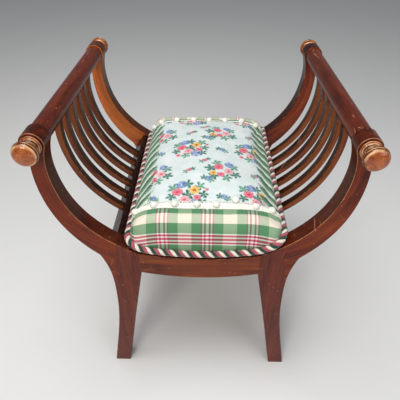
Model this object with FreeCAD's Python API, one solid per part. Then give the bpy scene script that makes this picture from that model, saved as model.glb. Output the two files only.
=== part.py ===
import FreeCAD, Part
import math
import os

# A window bench with scrolled arms. Two side frames, front and back, are each a pair of sabre
# legs that carry curved arms. Turned hand rolls run from the front arms to the back arms, six
# curved slats fill each side, and a domed cushion sits in the dished seat.
# Millimetres. X runs to the right, Y to the back, Z up from the floor; the origin is on the
# floor in the middle of the bench. "Left" is -X and "front" is -Y.

V = FreeCAD.Vector

# Overall places
roll_half_span = 273.0
roll_axis_height = 656.0
frame_half_depth = 238.5
side_thickness = 35.0
edge_round = 1.8

# Front and back rails
rail_thickness = 26.0
rail_half_length = 122.0
rail_top_height = 393.0
rail_top_sag = 12.0
rail_bottom_height = 336.0
rail_bottom_sag = 14.0

# Legs, measured on the right front leg
foot_inner = 182.5
foot_width = 37.5
leg_inner_bow = 1.2
leg_waist = 183.4
leg_waist_height = 285.0

# Arms
eye_radius = 21.5
eye_lean = 9.0
arm_root_width = 46.0
arm_tip_width = 26.0
arm_joint_in = 50.0
arm_tail_end = 325.0
arm_tail_blunt = 1.5
eye_notch_angle = 60.0

# The arm's inner curve, as shares of the way from the post joint to the eye, across and up
arm_sweep = [(0.180, 0.054), (0.448, 0.152), (0.676, 0.268), (0.855, 0.401),
             (0.978, 0.547), (1.045, 0.698), (1.060, 0.849)]

# Side rails and slats
side_rail_station = 52.0
side_rail_inset = 4.0
side_rail_height = 42.0
side_rail_width = 26.0
slat_count = 6
slat_pitch = 44.6
slat_row_offset = 9.0
slat_width = 12.9
slat_thickness = 16.4
slat_lead = 3.0
slat_round = 1.5
slat_rail_depth = 11.0
slat_roll_depth = 9.0

# Hand rolls and knobs
roll_radius = 18.3
tenon_radius = 9.0
tenon_length = 16.0
knob_collar_radius = 18.0
knob_collar_length = 3.5
knob_neck_radius = 13.2
knob_neck_length = 18.5
knob_bead_radius = 16.4
knob_bead_length = 3.0
knob_rim_radius = 21.7
knob_rim_length = 3.6
knob_groove_radius = 20.0
knob_groove_length = 1.0
knob_dome_radius = 21.0
knob_dome_height = 9.5

# Dowels, blocks and screws
dowel_radius = 4.0
dowel_length = 36.0
rail_dowel_spacing = 24.0
arm_dowel_length = 26.0
arm_dowel_spacing = 22.0
arm_dowel_height = 401.0
arm_dowel_setback = 11.5
side_dowel_spacing = 20.0
side_dowel_depth = 12.0
block_length = 38.0
block_depth = 28.0
block_height = 42.0
block_drop = 7.0
screw_radius = 2.0
screw_head_radius = 4.0
screw_head_height = 2.4
screw_bite = 6.0

# Seat board
board_thickness = 9.0
board_side_clearance = 3.0
board_rail_bearing = 10.5
board_gap = 0.2

# Twisted cord round the cushion's base
soft_gap = 0.3
cord_radius = 6.8
cord_half_width = 158.5
cord_half_depth = 234.5
cord_front_height = 403.5
cord_front_radius = 620.0
cord_rise_radius = 100.0
cord_corner_radius = 28.0
cord_lean = {-1: 23.0, 1: 35.0}

# Cushion, measured from its own middle, which lies a little to the right
cushion_shift = 11.0
cushion_side_bulge = 2.5
cushion_end_bulge = 1.0
cushion_half_width = cord_half_width - cord_radius - soft_gap - cushion_side_bulge
cushion_half_depth = cord_half_depth - cord_radius - soft_gap - cushion_end_bulge
cushion_base_slope = 0.5
cushion_crown_height = 498.0
cushion_seam_height = 484.0
cushion_shoulder_height = 471.0
cushion_shoulder_half_width = 139.0
cushion_waist_height = 454.0
cushion_edge_height = 434.0
seam_half_depth = 186.0
cushion_corner_radius = 26.0
puff_half_depth = 207.0
puff_height = 485.0
cover_thickness = 1.5

# Ball fringe along the front and back seams
braid_width = 13.0
braid_thickness = 1.4
pompom_count = 8
pompom_radius = 7.4
pompom_pitch = 39.4
pompom_shift = -5.0
pompom_rise = 4.2
pompom_wander = {-1: [0.0, 0.0, 2.0, 7.0, 6.0, 6.0, 6.0, 0.0],
                 1: [-1.0, -20.0, -17.0, -11.0, -9.0, -6.0, 0.0, 0.0]}
stray_pompom = 5
stray_distance = 13.0


def at(x, z, y=0.0):
    """A point by its place across, up and, if given, back."""
    return V(x, y, z)


def line(a, b):
    return Part.makeLine(a, b)


def arc(a, middle, b):
    return Part.Arc(a, middle, b).toShape()


def interpolated(points):
    """A smooth curve through the points."""
    curve = Part.BSplineCurve()
    curve.interpolate(points)
    return curve


def prism(edges, start, length, direction=V(0, 1, 0)):
    """A closed outline of edges, moved to start along the direction and drawn out by length."""
    face = Part.Face(Part.Wire(edges))
    face.translate(direction * start)
    return face.extrude(direction * length)


def polygon(points):
    """The edges of a closed outline of straight sides."""
    return [line(a, b) for a, b in zip(points, points[1:] + points[:1])]


def cylinder(radius, length, start, direction):
    return Part.makeCylinder(radius, length, start, direction)


def group(solids):
    return Part.makeCompound(solids)


def export(name, shape):
    """Writes one sub-part, and stops if it is not made of valid solids."""
    if not shape.isValid() or not shape.Solids:
        raise ValueError("bad shape: " + name)
    shape.exportStep("parts/" + name + ".step")


def all_cut(shape, tools):
    """The shape with every tool taken out of it, one after another."""
    for tool in tools:
        shape = shape.cut(tool)
    return shape.removeSplitter()


# Curves of the side frame

rail_end_top = rail_top_height + rail_top_sag
rail_end_bottom = rail_bottom_height + rail_bottom_sag


def eye_point(side, angle, radius=eye_radius):
    """A point on the arm's round end, by its angle from the outward horizontal."""
    turn = math.radians(angle)
    return at(side * (roll_half_span + radius * math.cos(turn)),
              roll_axis_height + radius * math.sin(turn))


def inner_curve(side):
    """The arm's inner edge, from the post joint up to where it meets the eye."""
    start = at(side * rail_half_length, rail_end_top)
    end = eye_point(side, 180.0 + eye_lean)
    points = [start]
    for across, up in arm_sweep:
        points.append(at(start.x + across * (end.x - start.x), start.z + up * (end.z - start.z)))
    points.append(end)
    return interpolated(points)


def station(curve, distance):
    """The place at a distance along the curve, with its tangent and its outward normal."""
    u = curve.parameterAtDistance(distance, curve.FirstParameter)
    point = curve.value(u)
    tangent = curve.tangent(u)[0]
    side = 1.0 if point.x > 0 else -1.0
    normal = V(side * tangent.z, 0, -side * tangent.x)
    return point, tangent, normal


def inner_length(side):
    curve = inner_curve(side)
    return curve.length()


def offset_curve(side, first, last, offsets):
    """A curve at changing offsets from the inner edge, between two distances along it."""
    curve = inner_curve(side)
    points = []
    for index, offset in enumerate(offsets):
        share = index / (len(offsets) - 1)
        point, tangent, normal = station(curve, first + share * (last - first))
        points.append(point + normal * offset)
    return points


def arm_outer_points(side):
    """The arm's outer edge, from its shoulder on the leg to the notch under the eye."""
    curve = inner_curve(side)
    first = side_rail_station + 0.35 * side_rail_width
    last = curve.length() - eye_radius
    steps = 6
    widths = []
    for index in range(steps):
        left = 1.0 - index / (steps - 1)
        widths.append(arm_tip_width + (arm_root_width - arm_tip_width) * left ** 1.35)
    points = offset_curve(side, first, last, widths)
    return points[:-1] + [eye_point(side, -eye_notch_angle)]


def leg_outer_points(side, shoulder):
    """The leg's outer edge, from the foot through its waist to the arm's shoulder."""
    foot = foot_inner + foot_width
    spread = foot - leg_waist
    rise = shoulder.z - leg_waist_height
    reach = abs(shoulder.x) - leg_waist
    places = [(foot, 0.0),
              (leg_waist + 0.495 * spread, 0.38 * leg_waist_height),
              (leg_waist + 0.095 * spread, 0.75 * leg_waist_height),
              (leg_waist, leg_waist_height),
              (leg_waist + 0.13 * reach, leg_waist_height + 0.50 * rise),
              (leg_waist + 0.50 * reach, leg_waist_height + 0.78 * rise)]
    return [at(side * x, z) for x, z in places] + [shoulder]


def side_frame(side, front):
    """Leg and arm of one corner in one piece, before they are parted at their joint."""
    arm_outer = arm_outer_points(side)
    leg_outer = leg_outer_points(side, arm_outer[0])
    inner = inner_curve(side)
    foot = at(side * foot_inner, 0.0)
    joint_foot = at(side * rail_half_length, rail_end_bottom)
    calf = (foot + joint_foot) * 0.5 + V(side * leg_inner_bow, 0, 0)
    edges = [arc(foot, calf, joint_foot),
             line(joint_foot, at(side * rail_half_length, rail_end_top)),
             inner.toShape(),
             arc(eye_point(side, 180.0 + eye_lean), eye_point(side, 80.0),
                 eye_point(side, -eye_notch_angle)),
             interpolated(arm_outer).toShape(),
             interpolated(leg_outer).toShape(),
             line(leg_outer[0], foot)]
    start = -frame_half_depth if front else frame_half_depth - side_thickness
    return prism(edges, start, side_thickness)


def eased(solid):
    """A leg or arm with the long edges of its flat faces rounded, but none at a joint."""
    curved = [e for e in solid.Edges
              if e.BoundBox.YLength < 0.01 and e.Curve.TypeId != "Part::GeomLine"]
    return solid.makeFillet(edge_round, curved)


def arm_region(side):
    """A block that holds all of the side frame beyond the glued arm joint."""
    curve = inner_curve(side)
    top, tangent, normal = station(curve, arm_joint_in)
    tail = at(side * (leg_waist - arm_tail_blunt), arm_tail_end)
    over = top + (top - tail) * 0.25
    far = side * (roll_half_span + 4 * eye_radius)
    high = roll_axis_height + 4 * eye_radius
    outline = [over, tail, at(far, arm_tail_end), at(far, high), at(over.x, high)]
    return prism(polygon(outline), -2 * frame_half_depth, 4 * frame_half_depth)


def corners():
    """Each corner's name with its side, -1 left or 1 right, and its depth, -1 front or 1 back."""
    return [("front_left", -1, -1), ("front_right", 1, -1),
            ("back_left", -1, 1), ("back_right", 1, 1)]


# Fastenings

def rail_dowels():
    """Two dowels in each end of the front and back rails."""
    pins = []
    y = frame_half_depth - rail_thickness / 2
    middle = (rail_end_top + rail_end_bottom) / 2
    for name, side, depth in corners():
        for step in (-0.5, 0.5):
            start = V(side * rail_half_length - dowel_length / 2, depth * y,
                      middle + step * rail_dowel_spacing)
            pins.append(cylinder(dowel_radius, dowel_length, start, V(1, 0, 0)))
    return pins


def arm_joint_x(height):
    """Where the right-hand arm joint lies at a height."""
    top, tangent, normal = station(inner_curve(1), arm_joint_in)
    tail = leg_waist - arm_tail_blunt
    share = (height - arm_tail_end) / (top.z - arm_tail_end)
    return tail + share * (top.x - tail)


def arm_dowels():
    """Two dowels across each joint of arm and leg."""
    pins = []
    y = frame_half_depth - arm_dowel_setback
    for name, side, depth in corners():
        for step in (-0.5, 0.5):
            height = arm_dowel_height + step * arm_dowel_spacing
            middle = side * arm_joint_x(height)
            start = V(middle - arm_dowel_length / 2, depth * y, height)
            pins.append(cylinder(dowel_radius, arm_dowel_length, start, V(1, 0, 0)))
    return pins


def side_rail_frame(side):
    """The side rail's upper outer corner, its tangent and its outward normal."""
    point, tangent, normal = station(inner_curve(side), side_rail_station)
    return point + normal * side_rail_inset, tangent, normal


def side_dowels():
    """Two dowels in each end of the side rails."""
    pins = []
    inner_face = frame_half_depth - side_thickness
    for name, side, depth in corners():
        corner, tangent, normal = side_rail_frame(side)
        middle = corner + normal * (side_rail_height / 2) - tangent * (side_rail_width / 2)
        for step in (-0.5, 0.5):
            place = middle + normal * (step * side_dowel_spacing)
            start = V(place.x, depth * (inner_face - side_dowel_depth), place.z)
            pins.append(cylinder(dowel_radius, 2 * side_dowel_depth, start, V(0, depth, 0)))
    return pins


def block_places():
    """Centre of each corner block's plan, beside the post and behind the rail."""
    x = rail_half_length - block_length / 2
    y = frame_half_depth - rail_thickness - block_depth / 2
    return [(name, side * x, depth * y) for name, side, depth in corners()]


def rail_top_at(x):
    """Height of the rail's dished top edge at a distance from the middle."""
    radius = (rail_half_length ** 2 + rail_top_sag ** 2) / (2 * rail_top_sag)
    return rail_top_height + radius - math.sqrt(radius ** 2 - x ** 2)


block_top = rail_top_at(rail_half_length - block_length) - 0.5
block_bottom = block_top - block_height


def seat_screws():
    """One screw up through each corner block into the seat board."""
    screws = []
    for name, x, y in block_places():
        tip = rail_top_at(abs(x)) + board_gap + screw_bite
        shank = cylinder(screw_radius, tip - block_bottom, V(x, y, block_bottom), V(0, 0, 1))
        head = cylinder(screw_head_radius, screw_head_height,
                        V(x, y, block_bottom - screw_head_height), V(0, 0, 1))
        screws.append(shank.fuse(head).removeSplitter())
    return screws


def corner_block(x, y):
    """A glue block with its free inner corner cut off."""
    side = 1.0 if x > 0 else -1.0
    depth = 1.0 if y > 0 else -1.0
    half_x = block_length / 2
    half_y = block_depth / 2
    plan = [V(x + side * half_x, y + depth * half_y, block_bottom),
            V(x - side * half_x, y + depth * half_y, block_bottom),
            V(x - side * half_x, y + depth * (half_y - 12.0), block_bottom),
            V(x + side * (half_x - 12.0), y - depth * half_y, block_bottom),
            V(x + side * half_x, y - depth * half_y, block_bottom)]
    return prism(polygon(plan), 0.0, block_height, V(0, 0, 1))


# Rails, slats and rolls

def end_rail(front):
    """Front or back rail: its top and its bottom edge both sag in the middle."""
    top = arc(at(-rail_half_length, rail_end_top), at(0, rail_top_height),
              at(rail_half_length, rail_end_top))
    bottom = arc(at(rail_half_length, rail_end_bottom), at(0, rail_bottom_height),
                 at(-rail_half_length, rail_end_bottom))
    edges = [top, line(at(rail_half_length, rail_end_top), at(rail_half_length, rail_end_bottom)),
             bottom, line(at(-rail_half_length, rail_end_bottom), at(-rail_half_length, rail_end_top))]
    start = -frame_half_depth if front else frame_half_depth - rail_thickness
    solid = prism(edges, start, rail_thickness)
    long_edges = [e for e in solid.Edges
                  if e.BoundBox.XLength > rail_half_length and e.BoundBox.YLength < 0.01]
    return solid.makeFillet(edge_round, long_edges)


def slat(side, place):
    """One curved slat, from its mortise in the side rail to its mortise in the roll."""
    first = side_rail_station - slat_rail_depth
    last = inner_length(side) - (roll_radius - slat_roll_depth)
    near = eye_radius - slat_lead - slat_width / 2
    steps = 7
    inside = offset_curve(side, first, last, [near] * steps)
    outside = offset_curve(side, first, last, [near + slat_width] * steps)
    edges = [interpolated(inside).toShape(), line(inside[-1], outside[-1]),
             interpolated(outside[::-1]).toShape(), line(outside[0], inside[0])]
    solid = prism(edges, place - slat_thickness / 2, slat_thickness)
    long_edges = [e for e in solid.Edges
                  if e.BoundBox.YLength < 0.01 and e.Length > 3 * slat_width]
    return solid.makeFillet(slat_round, long_edges)


def slat_places():
    """The slats' places from front to back."""
    first = slat_row_offset - slat_pitch * (slat_count - 1) / 2
    return [first + index * slat_pitch for index in range(slat_count)]


def side_rail(side):
    """The square-set rail that the slats stand in."""
    corner, tangent, normal = side_rail_frame(side)
    outline = [corner, corner + normal * side_rail_height,
               corner + normal * side_rail_height - tangent * side_rail_width,
               corner - tangent * side_rail_width]
    reach = frame_half_depth - side_thickness
    solid = prism(polygon(outline), -reach, 2 * reach)
    long_edges = [e for e in solid.Edges if e.BoundBox.YLength > reach]
    return solid.makeFillet(edge_round, long_edges)


def roll_bar(side):
    """The turned bar between the arms, with a round tenon in each eye."""
    reach = frame_half_depth - side_thickness
    axis = V(side * roll_half_span, 0, roll_axis_height)
    bar = cylinder(roll_radius, 2 * reach, axis - V(0, reach, 0), V(0, 1, 0))
    tenon = cylinder(tenon_radius, 2 * (reach + tenon_length),
                     axis - V(0, reach + tenon_length, 0), V(0, 1, 0))
    return bar.fuse(tenon).removeSplitter()


def knob_profile():
    """Radius and distance from the arm's face along the knob, as edges of its outline."""
    collar = knob_collar_length
    neck_end = collar + knob_neck_length
    bead = collar + (knob_neck_length - knob_bead_length) / 2
    rim_end = neck_end + knob_rim_length + 2.0
    groove_end = rim_end + knob_groove_length
    apex = groove_end + knob_dome_height
    hollow = side_thickness - tenon_length

    def p(radius, out):
        return V(radius, -out, 0)

    edges = [line(p(0, -hollow), p(tenon_radius, -hollow)),
             line(p(tenon_radius, -hollow), p(tenon_radius, 0)),
             line(p(tenon_radius, 0), p(knob_collar_radius - 1.0, 0)),
             arc(p(knob_collar_radius - 1.0, 0), p(knob_collar_radius, collar / 2),
                 p(knob_collar_radius - 1.0, collar)),
             arc(p(knob_collar_radius - 1.0, collar), p(knob_neck_radius, (collar + bead) / 2),
                 p(knob_bead_radius - 1.4, bead)),
             arc(p(knob_bead_radius - 1.4, bead), p(knob_bead_radius, bead + knob_bead_length / 2),
                 p(knob_bead_radius - 1.4, bead + knob_bead_length)),
             arc(p(knob_bead_radius - 1.4, bead + knob_bead_length),
                 p(knob_neck_radius + 0.6, bead + knob_bead_length + 3.4),
                 p(knob_rim_radius - 1.0, neck_end + 1.0)),
             arc(p(knob_rim_radius - 1.0, neck_end + 1.0),
                 p(knob_rim_radius, (neck_end + 1.0 + rim_end) / 2),
                 p(knob_rim_radius - 1.0, rim_end)),
             line(p(knob_rim_radius - 1.0, rim_end), p(knob_groove_radius, rim_end)),
             line(p(knob_groove_radius, rim_end), p(knob_groove_radius, groove_end)),
             line(p(knob_groove_radius, groove_end), p(knob_dome_radius, groove_end + 0.8)),
             interpolated([p(knob_dome_radius, groove_end + 0.8),
                           p(0.94 * knob_dome_radius, groove_end + 0.40 * knob_dome_height),
                           p(0.72 * knob_dome_radius, groove_end + 0.72 * knob_dome_height),
                           p(0.38 * knob_dome_radius, groove_end + 0.93 * knob_dome_height),
                           p(0, apex)]).toShape(),
             line(p(0, apex), p(0, -hollow))]
    return edges


def knob(side, depth):
    """A turned end knob on the outer face of an arm."""
    solid = Part.Face(Part.Wire(knob_profile())).revolve(V(0, 0, 0), V(0, 1, 0), 360)
    if depth > 0:
        solid.rotate(V(0, 0, 0), V(1, 0, 0), 180)
    solid.translate(V(side * roll_half_span, depth * frame_half_depth, roll_axis_height))
    return solid


# Seat board and cushion

def seat_board():
    """A bent board that lies in the dish of the two rails."""
    half = rail_half_length - board_side_clearance
    low = board_gap
    high = board_gap + board_thickness
    edge_z = rail_top_at(half)
    bottom = arc(at(-half, edge_z + low), at(0, rail_top_height + low), at(half, edge_z + low))
    top = arc(at(half, edge_z + high), at(0, rail_top_height + high), at(-half, edge_z + high))
    edges = [bottom, line(at(half, edge_z + low), at(half, edge_z + high)), top,
             line(at(-half, edge_z + high), at(-half, edge_z + low))]
    reach = frame_half_depth - rail_thickness + board_rail_bearing
    return prism(edges, -reach, 2 * reach)


def largest(shape):
    """The biggest solid of a cut, without the slivers that thin skins leave."""
    return max(shape.removeSplitter().Solids, key=lambda solid: solid.Volume)


def cushion_across(grow, drop):
    """The cushion's outline from side to side, drawn out from front to back."""
    board_half = rail_half_length - board_side_clearance
    low = board_gap + board_thickness + soft_gap - drop
    lift = soft_gap + 1.0 - drop
    board_edge = rail_top_at(board_half) + low
    half = cushion_half_width + grow
    points = {}
    for side in (-1, 1):
        edge = cushion_shift + side * half
        base = board_edge + lift + cushion_base_slope * (abs(edge) - board_half)
        points[side] = [at(edge, base),
                        at(edge + side * cushion_side_bulge, cushion_waist_height),
                        at(cushion_shift + side * (cushion_shoulder_half_width + grow),
                           cushion_shoulder_height + grow),
                        at(cushion_shift + side * 0.62 * half, cushion_seam_height + grow)]
    crown = at(cushion_shift, cushion_crown_height + grow)
    skin = interpolated(points[1] + [crown] + points[-1][::-1]).toShape()
    middle_low = rail_top_height + low
    bed = arc(at(-board_half, board_edge), at(0, middle_low), at(board_half, board_edge))
    edges = [bed, line(at(board_half, board_edge), points[1][0]), skin,
             line(points[-1][0], at(-board_half, board_edge))]
    reach = 2 * cushion_half_depth
    return prism(edges, -reach, 2 * reach)


def cushion_along(grow):
    """The cushion's outline from front to back, drawn out from side to side."""
    half = cushion_half_depth + grow
    seam = seam_half_depth + grow
    low = rail_bottom_height
    front = [V(0, -half, cord_front_height),
             V(0, -half - 3 * cushion_end_bulge, cushion_edge_height),
             V(0, -half + 3 * cushion_end_bulge,
               0.3 * cushion_edge_height + 0.7 * cushion_seam_height),
             V(0, -puff_half_depth - grow, puff_height + grow),
             V(0, -seam, cushion_seam_height + grow),
             V(0, -0.60 * seam, cushion_crown_height - 4.0 + grow)]
    back = [V(0, -p.y, p.z) for p in front[::-1]]
    skin = interpolated(front + [V(0, 0, cushion_crown_height + grow)] + back).toShape()
    edges = [line(V(0, half, low), V(0, -half, low)), line(V(0, -half, low), front[0]), skin,
             line(back[-1], V(0, half, low))]
    reach = 2 * cushion_half_width
    return prism(edges, -reach, 2 * reach, V(1, 0, 0))


def cushion_plan(grow):
    """The cushion's outline seen from above, with round corners, drawn upwards."""
    half_x = cushion_half_width + cushion_side_bulge + grow
    half_y = cushion_half_depth + 3 * cushion_end_bulge + grow
    box = Part.makeBox(2 * half_x, 2 * half_y, 2 * cushion_crown_height,
                       V(cushion_shift - half_x, -half_y, 0))
    uprights = [e for e in box.Edges if e.BoundBox.ZLength > cushion_crown_height]
    return box.makeFillet(cushion_corner_radius, uprights)


def cushion_body(grow, drop=0.0):
    """The domed cushion, grown by a skin outwards and let down by drop below."""
    body = cushion_across(grow, drop).common(cushion_along(grow))
    return body.common(cushion_plan(grow)).removeSplitter()


def slab(low_y, high_y):
    """Everything between two planes across the bench."""
    wide = 4 * cushion_half_width
    return Part.makeBox(wide, high_y - low_y, 2 * roll_axis_height, V(-wide / 2, low_y, 0))


# Twisted cord

def cord_turn(side):
    """The angle where the cord's long front arc gives way to its rise at a corner."""
    lean = math.radians(cord_lean[side])
    reach = cord_half_width + side * cushion_shift
    rest = reach - cord_corner_radius * math.cos(lean) - cord_rise_radius * math.sin(lean)
    return math.asin(rest / (cord_front_radius - cord_rise_radius))


def cord_places(side):
    """Where the long arc, the rise and the corner end on one side, in the front plane."""
    turn = cord_turn(side)
    lean = math.radians(cord_lean[side])
    long_x = cord_front_radius * math.sin(turn)
    long_z = cord_front_height + cord_front_radius * (1 - math.cos(turn))
    middle = (turn + lean) / 2

    def rise(angle):
        return (long_x + cord_rise_radius * (math.sin(angle) - math.sin(turn)),
                long_z + cord_rise_radius * (math.cos(turn) - math.cos(angle)))

    rise_middle = rise(middle)
    rise_end = rise(lean)
    return (long_x, long_z), rise_middle, rise_end


def cord_corner(side, depth, rise_end):
    """The quarter turn at a corner, in the plane that leans with the cord's rise."""
    lean = math.radians(cord_lean[side])
    radius = cord_corner_radius
    across = V(side * math.cos(lean), 0, math.sin(lean))
    back = V(0, -depth, 0)
    start = V(side * rise_end[0], depth * cord_half_depth, rise_end[1])
    centre = start + back * radius
    middle = centre + (across - back) * (radius * math.sqrt(0.5))
    end = centre + across * radius
    return start, middle, end


def cord_path():
    """The cord's whole round as tangent arcs and straight sides."""
    edges = []
    ends = {}
    for depth in (-1, 1):
        y = depth * cord_half_depth
        long_ends = {}
        for side in (-1, 1):
            (long_x, long_z), rise_middle, rise_end = cord_places(side)
            start, middle, end = cord_corner(side, depth, rise_end)
            long_end = V(side * long_x, y, long_z)
            edges.append(arc(long_end, V(side * rise_middle[0], y, rise_middle[1]), start))
            edges.append(arc(start, middle, end))
            long_ends[side] = long_end
            ends[(side, depth)] = end
        edges.append(arc(long_ends[-1], V(0, y, cord_front_height), long_ends[1]))
    for side in (-1, 1):
        edges.append(line(ends[(side, -1)], ends[(side, 1)]))
    return Part.Wire(Part.__sortEdges__(edges))


def cord_ring(radius):
    """A round tube along the cord's path."""
    path = cord_path()
    first = path.OrderedEdges[0]
    start = first.valueAt(first.FirstParameter)
    tangent = first.tangentAt(first.FirstParameter)
    circle = Part.Wire(Part.makeCircle(radius, start, tangent))
    return path.makePipeShell([circle], True, False)


# Ball fringe

def surface_height(skin, x, y):
    """Height of the cushion's skin above a place in plan."""
    probe = Part.makeLine(V(x, y, rail_top_height), V(x, y, 2 * cushion_crown_height))
    return probe.common(skin).BoundBox.ZMax


def pompoms(depth, bed):
    """A row of balls, pressed flat below, that lie on the braid along one seam."""
    room = cushion_body(braid_thickness + 2 * soft_gap)
    middle = cushion_shift + pompom_shift
    balls = []
    for index, wander in enumerate(pompom_wander[depth]):
        x = middle + (index - (pompom_count - 1) / 2) * pompom_pitch + wander
        y = depth * (seam_half_depth - braid_width / 2)
        if depth < 0 and index == stray_pompom:
            y -= depth * stray_distance
        z = surface_height(bed, x, y) + pompom_rise
        balls.append(largest(Part.makeSphere(pompom_radius, V(x, y, z)).cut(room)))
    return balls


def braid(depth):
    """A thin tape over the cover behind one seam."""
    outer = cushion_body(soft_gap + braid_thickness)
    inner = cushion_body(soft_gap, 3.0)
    band = outer.cut(inner)
    near = depth * seam_half_depth
    far = depth * (seam_half_depth - braid_width)
    tape = band.common(slab(min(near, far), max(near, far)))
    above = Part.makeBox(8 * cushion_half_width, 4 * frame_half_depth, roll_axis_height,
                         V(-4 * cushion_half_width, -2 * frame_half_depth, cushion_edge_height + 12.0))
    return tape.common(above).removeSplitter()


# Build and write every piece

pins = rail_dowels() + arm_dowels() + side_dowels()
screws = seat_screws()
slats = {(side, index): slat(side, place)
         for side in (-1, 1) for index, place in enumerate(slat_places())}
rolls = {side: roll_bar(side) for side in (-1, 1)}
side_names = {-1: "left", 1: "right"}

for name, side, depth in corners():
    frame = side_frame(side, depth < 0)
    region = arm_region(side)
    end_knob = knob(side, depth)
    joints = pins + [rolls[side], end_knob]
    export(name + "_arm", all_cut(eased(frame.common(region)), joints))
    export(name + "_leg", all_cut(eased(frame.cut(region)), pins))
    export(name + "_knob", end_knob)

export("front_rail", all_cut(end_rail(True), pins))
export("back_rail", all_cut(end_rail(False), pins))

for side, word in side_names.items():
    row = [slats[(side, index)] for index in range(slat_count)]
    export(word + "_side_rail", all_cut(side_rail(side), pins + row))
    export(word + "_hand_roll", all_cut(rolls[side], row))
    for index, stick in enumerate(row):
        export(word + "_slat_" + str(index + 1), stick)

for name, x, y in block_places():
    export(name + "_corner_block", all_cut(corner_block(x, y), screws))

export("rail_dowels", group(rail_dowels()))
export("arm_dowels", group(arm_dowels()))
export("side_rail_dowels", group(side_dowels()))
export("seat_screws", group(screws))
export("seat_board", all_cut(seat_board(), screws))

cord_room = cord_ring(cord_radius + soft_gap)
skin_outer = cushion_body(0.0)
foam = cushion_body(-cover_thickness - soft_gap)
cover_inner = cushion_body(-cover_thickness, 3.0)
cover = skin_outer.cut(cover_inner).cut(cord_room)
front_slab = slab(-2 * frame_half_depth, -seam_half_depth)
middle_slab = slab(-seam_half_depth, seam_half_depth)
back_slab = slab(seam_half_depth, 2 * frame_half_depth)
export("seat_foam", largest(foam.cut(cord_room)))
export("top_cover", largest(cover.common(middle_slab)))
export("front_panel", largest(cover.common(front_slab)))
export("back_panel", largest(cover.common(back_slab)))
export("twisted_cord", cord_ring(cord_radius))

for word, depth in (("front", -1), ("back", 1)):
    tape = braid(depth)
    export(word + "_braid", largest(tape.cut(cord_room)))
    export(word + "_pompoms", group(pompoms(depth, skin_outer)))
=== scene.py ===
"""A small window bench with scrolled, slatted arms and a domed chintz and plaid cushion.

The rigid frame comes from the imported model. This script dresses its wood, makes the soft goods
over their plain stand-ins, and sets up the floor, the light and the camera.
"""

import logging
import math
from dataclasses import dataclass
from enum import Enum
from typing import Any

import bmesh
import bpy
from mathutils import Matrix, Vector, kdtree, noise


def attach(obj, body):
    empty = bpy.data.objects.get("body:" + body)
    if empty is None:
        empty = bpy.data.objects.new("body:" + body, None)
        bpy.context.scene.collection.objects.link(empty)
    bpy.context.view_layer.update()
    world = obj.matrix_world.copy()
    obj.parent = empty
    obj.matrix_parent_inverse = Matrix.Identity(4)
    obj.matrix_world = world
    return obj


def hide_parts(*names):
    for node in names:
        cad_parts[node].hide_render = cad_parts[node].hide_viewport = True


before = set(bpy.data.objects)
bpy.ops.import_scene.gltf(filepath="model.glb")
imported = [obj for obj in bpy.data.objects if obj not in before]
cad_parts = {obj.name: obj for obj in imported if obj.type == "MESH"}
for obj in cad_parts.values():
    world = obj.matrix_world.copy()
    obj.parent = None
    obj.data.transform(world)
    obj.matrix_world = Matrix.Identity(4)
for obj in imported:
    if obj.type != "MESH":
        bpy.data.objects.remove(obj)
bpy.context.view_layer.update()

log = logging.getLogger("bench")

MM = 0.001
PHOTO_PIXELS = 400


def linear(hex_colour: str, alpha: float = 1.0) -> tuple[float, float, float, float]:
    """Turns an sRGB hex colour into linear values.

    Args:
        hex_colour: Colour such as "#7a3322".
        alpha: Opacity.

    Returns:
        Linear red, green, blue and alpha.
    """
    parts = []
    for start in (1, 3, 5):
        value = int(hex_colour[start:start + 2], 16) / 255
        parts.append(value / 12.92 if value <= 0.04045 else ((value + 0.055) / 1.055) ** 2.4)
    return parts[0], parts[1], parts[2], alpha


class NodeBench:
    """A node tree with one short call that adds a node with its settings and links."""

    def __init__(self, tree: bpy.types.NodeTree) -> None:
        """Args:
            tree: The tree to build in.
        """
        self.tree = tree

    def add(self, kind: str, *values: Any, stops: Any = None, **settings: Any) -> bpy.types.Node:
        """Adds a node.

        Args:
            kind: Node type without "ShaderNode", with a sum's operation after a colon.
            values: One entry per input in order: a node, a socket, a plain value or None. A
                dict gives inputs by name instead.
            stops: For a colour ramp, pairs of a position and a hex colour, a grey value or
                linear red, green, blue and alpha.
            settings: Node attributes.

        Returns:
            The new node.
        """
        kind, _, operation = kind.partition(":")
        made = self.tree.nodes.new("ShaderNode" + kind)
        if operation:
            made.operation = operation
        for key, value in settings.items():
            setattr(made, key, value)
        if stops:
            ramp = made.color_ramp
            while len(ramp.elements) < len(stops):
                ramp.elements.new(0.5)
            for element, (place, colour) in zip(ramp.elements, stops):
                element.position = place
                if isinstance(colour, tuple):
                    element.color = colour
                else:
                    element.color = (linear(colour) if isinstance(colour, str)
                                     else (colour, colour, colour, 1.0))
        pairs: list[tuple[Any, Any]] = []
        for index, value in enumerate(values):
            pairs += list(value.items()) if isinstance(value, dict) else [(index, value)]
        for key, value in pairs:
            if value is None:
                continue
            socket = made.inputs[key]
            if isinstance(value, bpy.types.Node):
                value = value.outputs[0]
            if isinstance(value, bpy.types.NodeSocket):
                self.tree.links.new(value, socket)
            elif isinstance(value, str):
                socket.default_value = linear(value)
            else:
                socket.default_value = value
        return made


def new_material(name: str) -> tuple[bpy.types.Material, NodeBench]:
    """Makes an empty node material.

    Args:
        name: The material's name.

    Returns:
        The material and its node bench.
    """
    material = bpy.data.materials.new(name)
    material.use_nodes = True
    material.node_tree.nodes.clear()
    return material, NodeBench(material.node_tree)


def clear_selection() -> None:
    """Leaves nothing selected and no object in edit mode."""
    if bpy.context.object and bpy.context.object.mode != "OBJECT":
        bpy.ops.object.mode_set(mode="OBJECT")
    bpy.ops.object.select_all(action="DESELECT")


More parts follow.
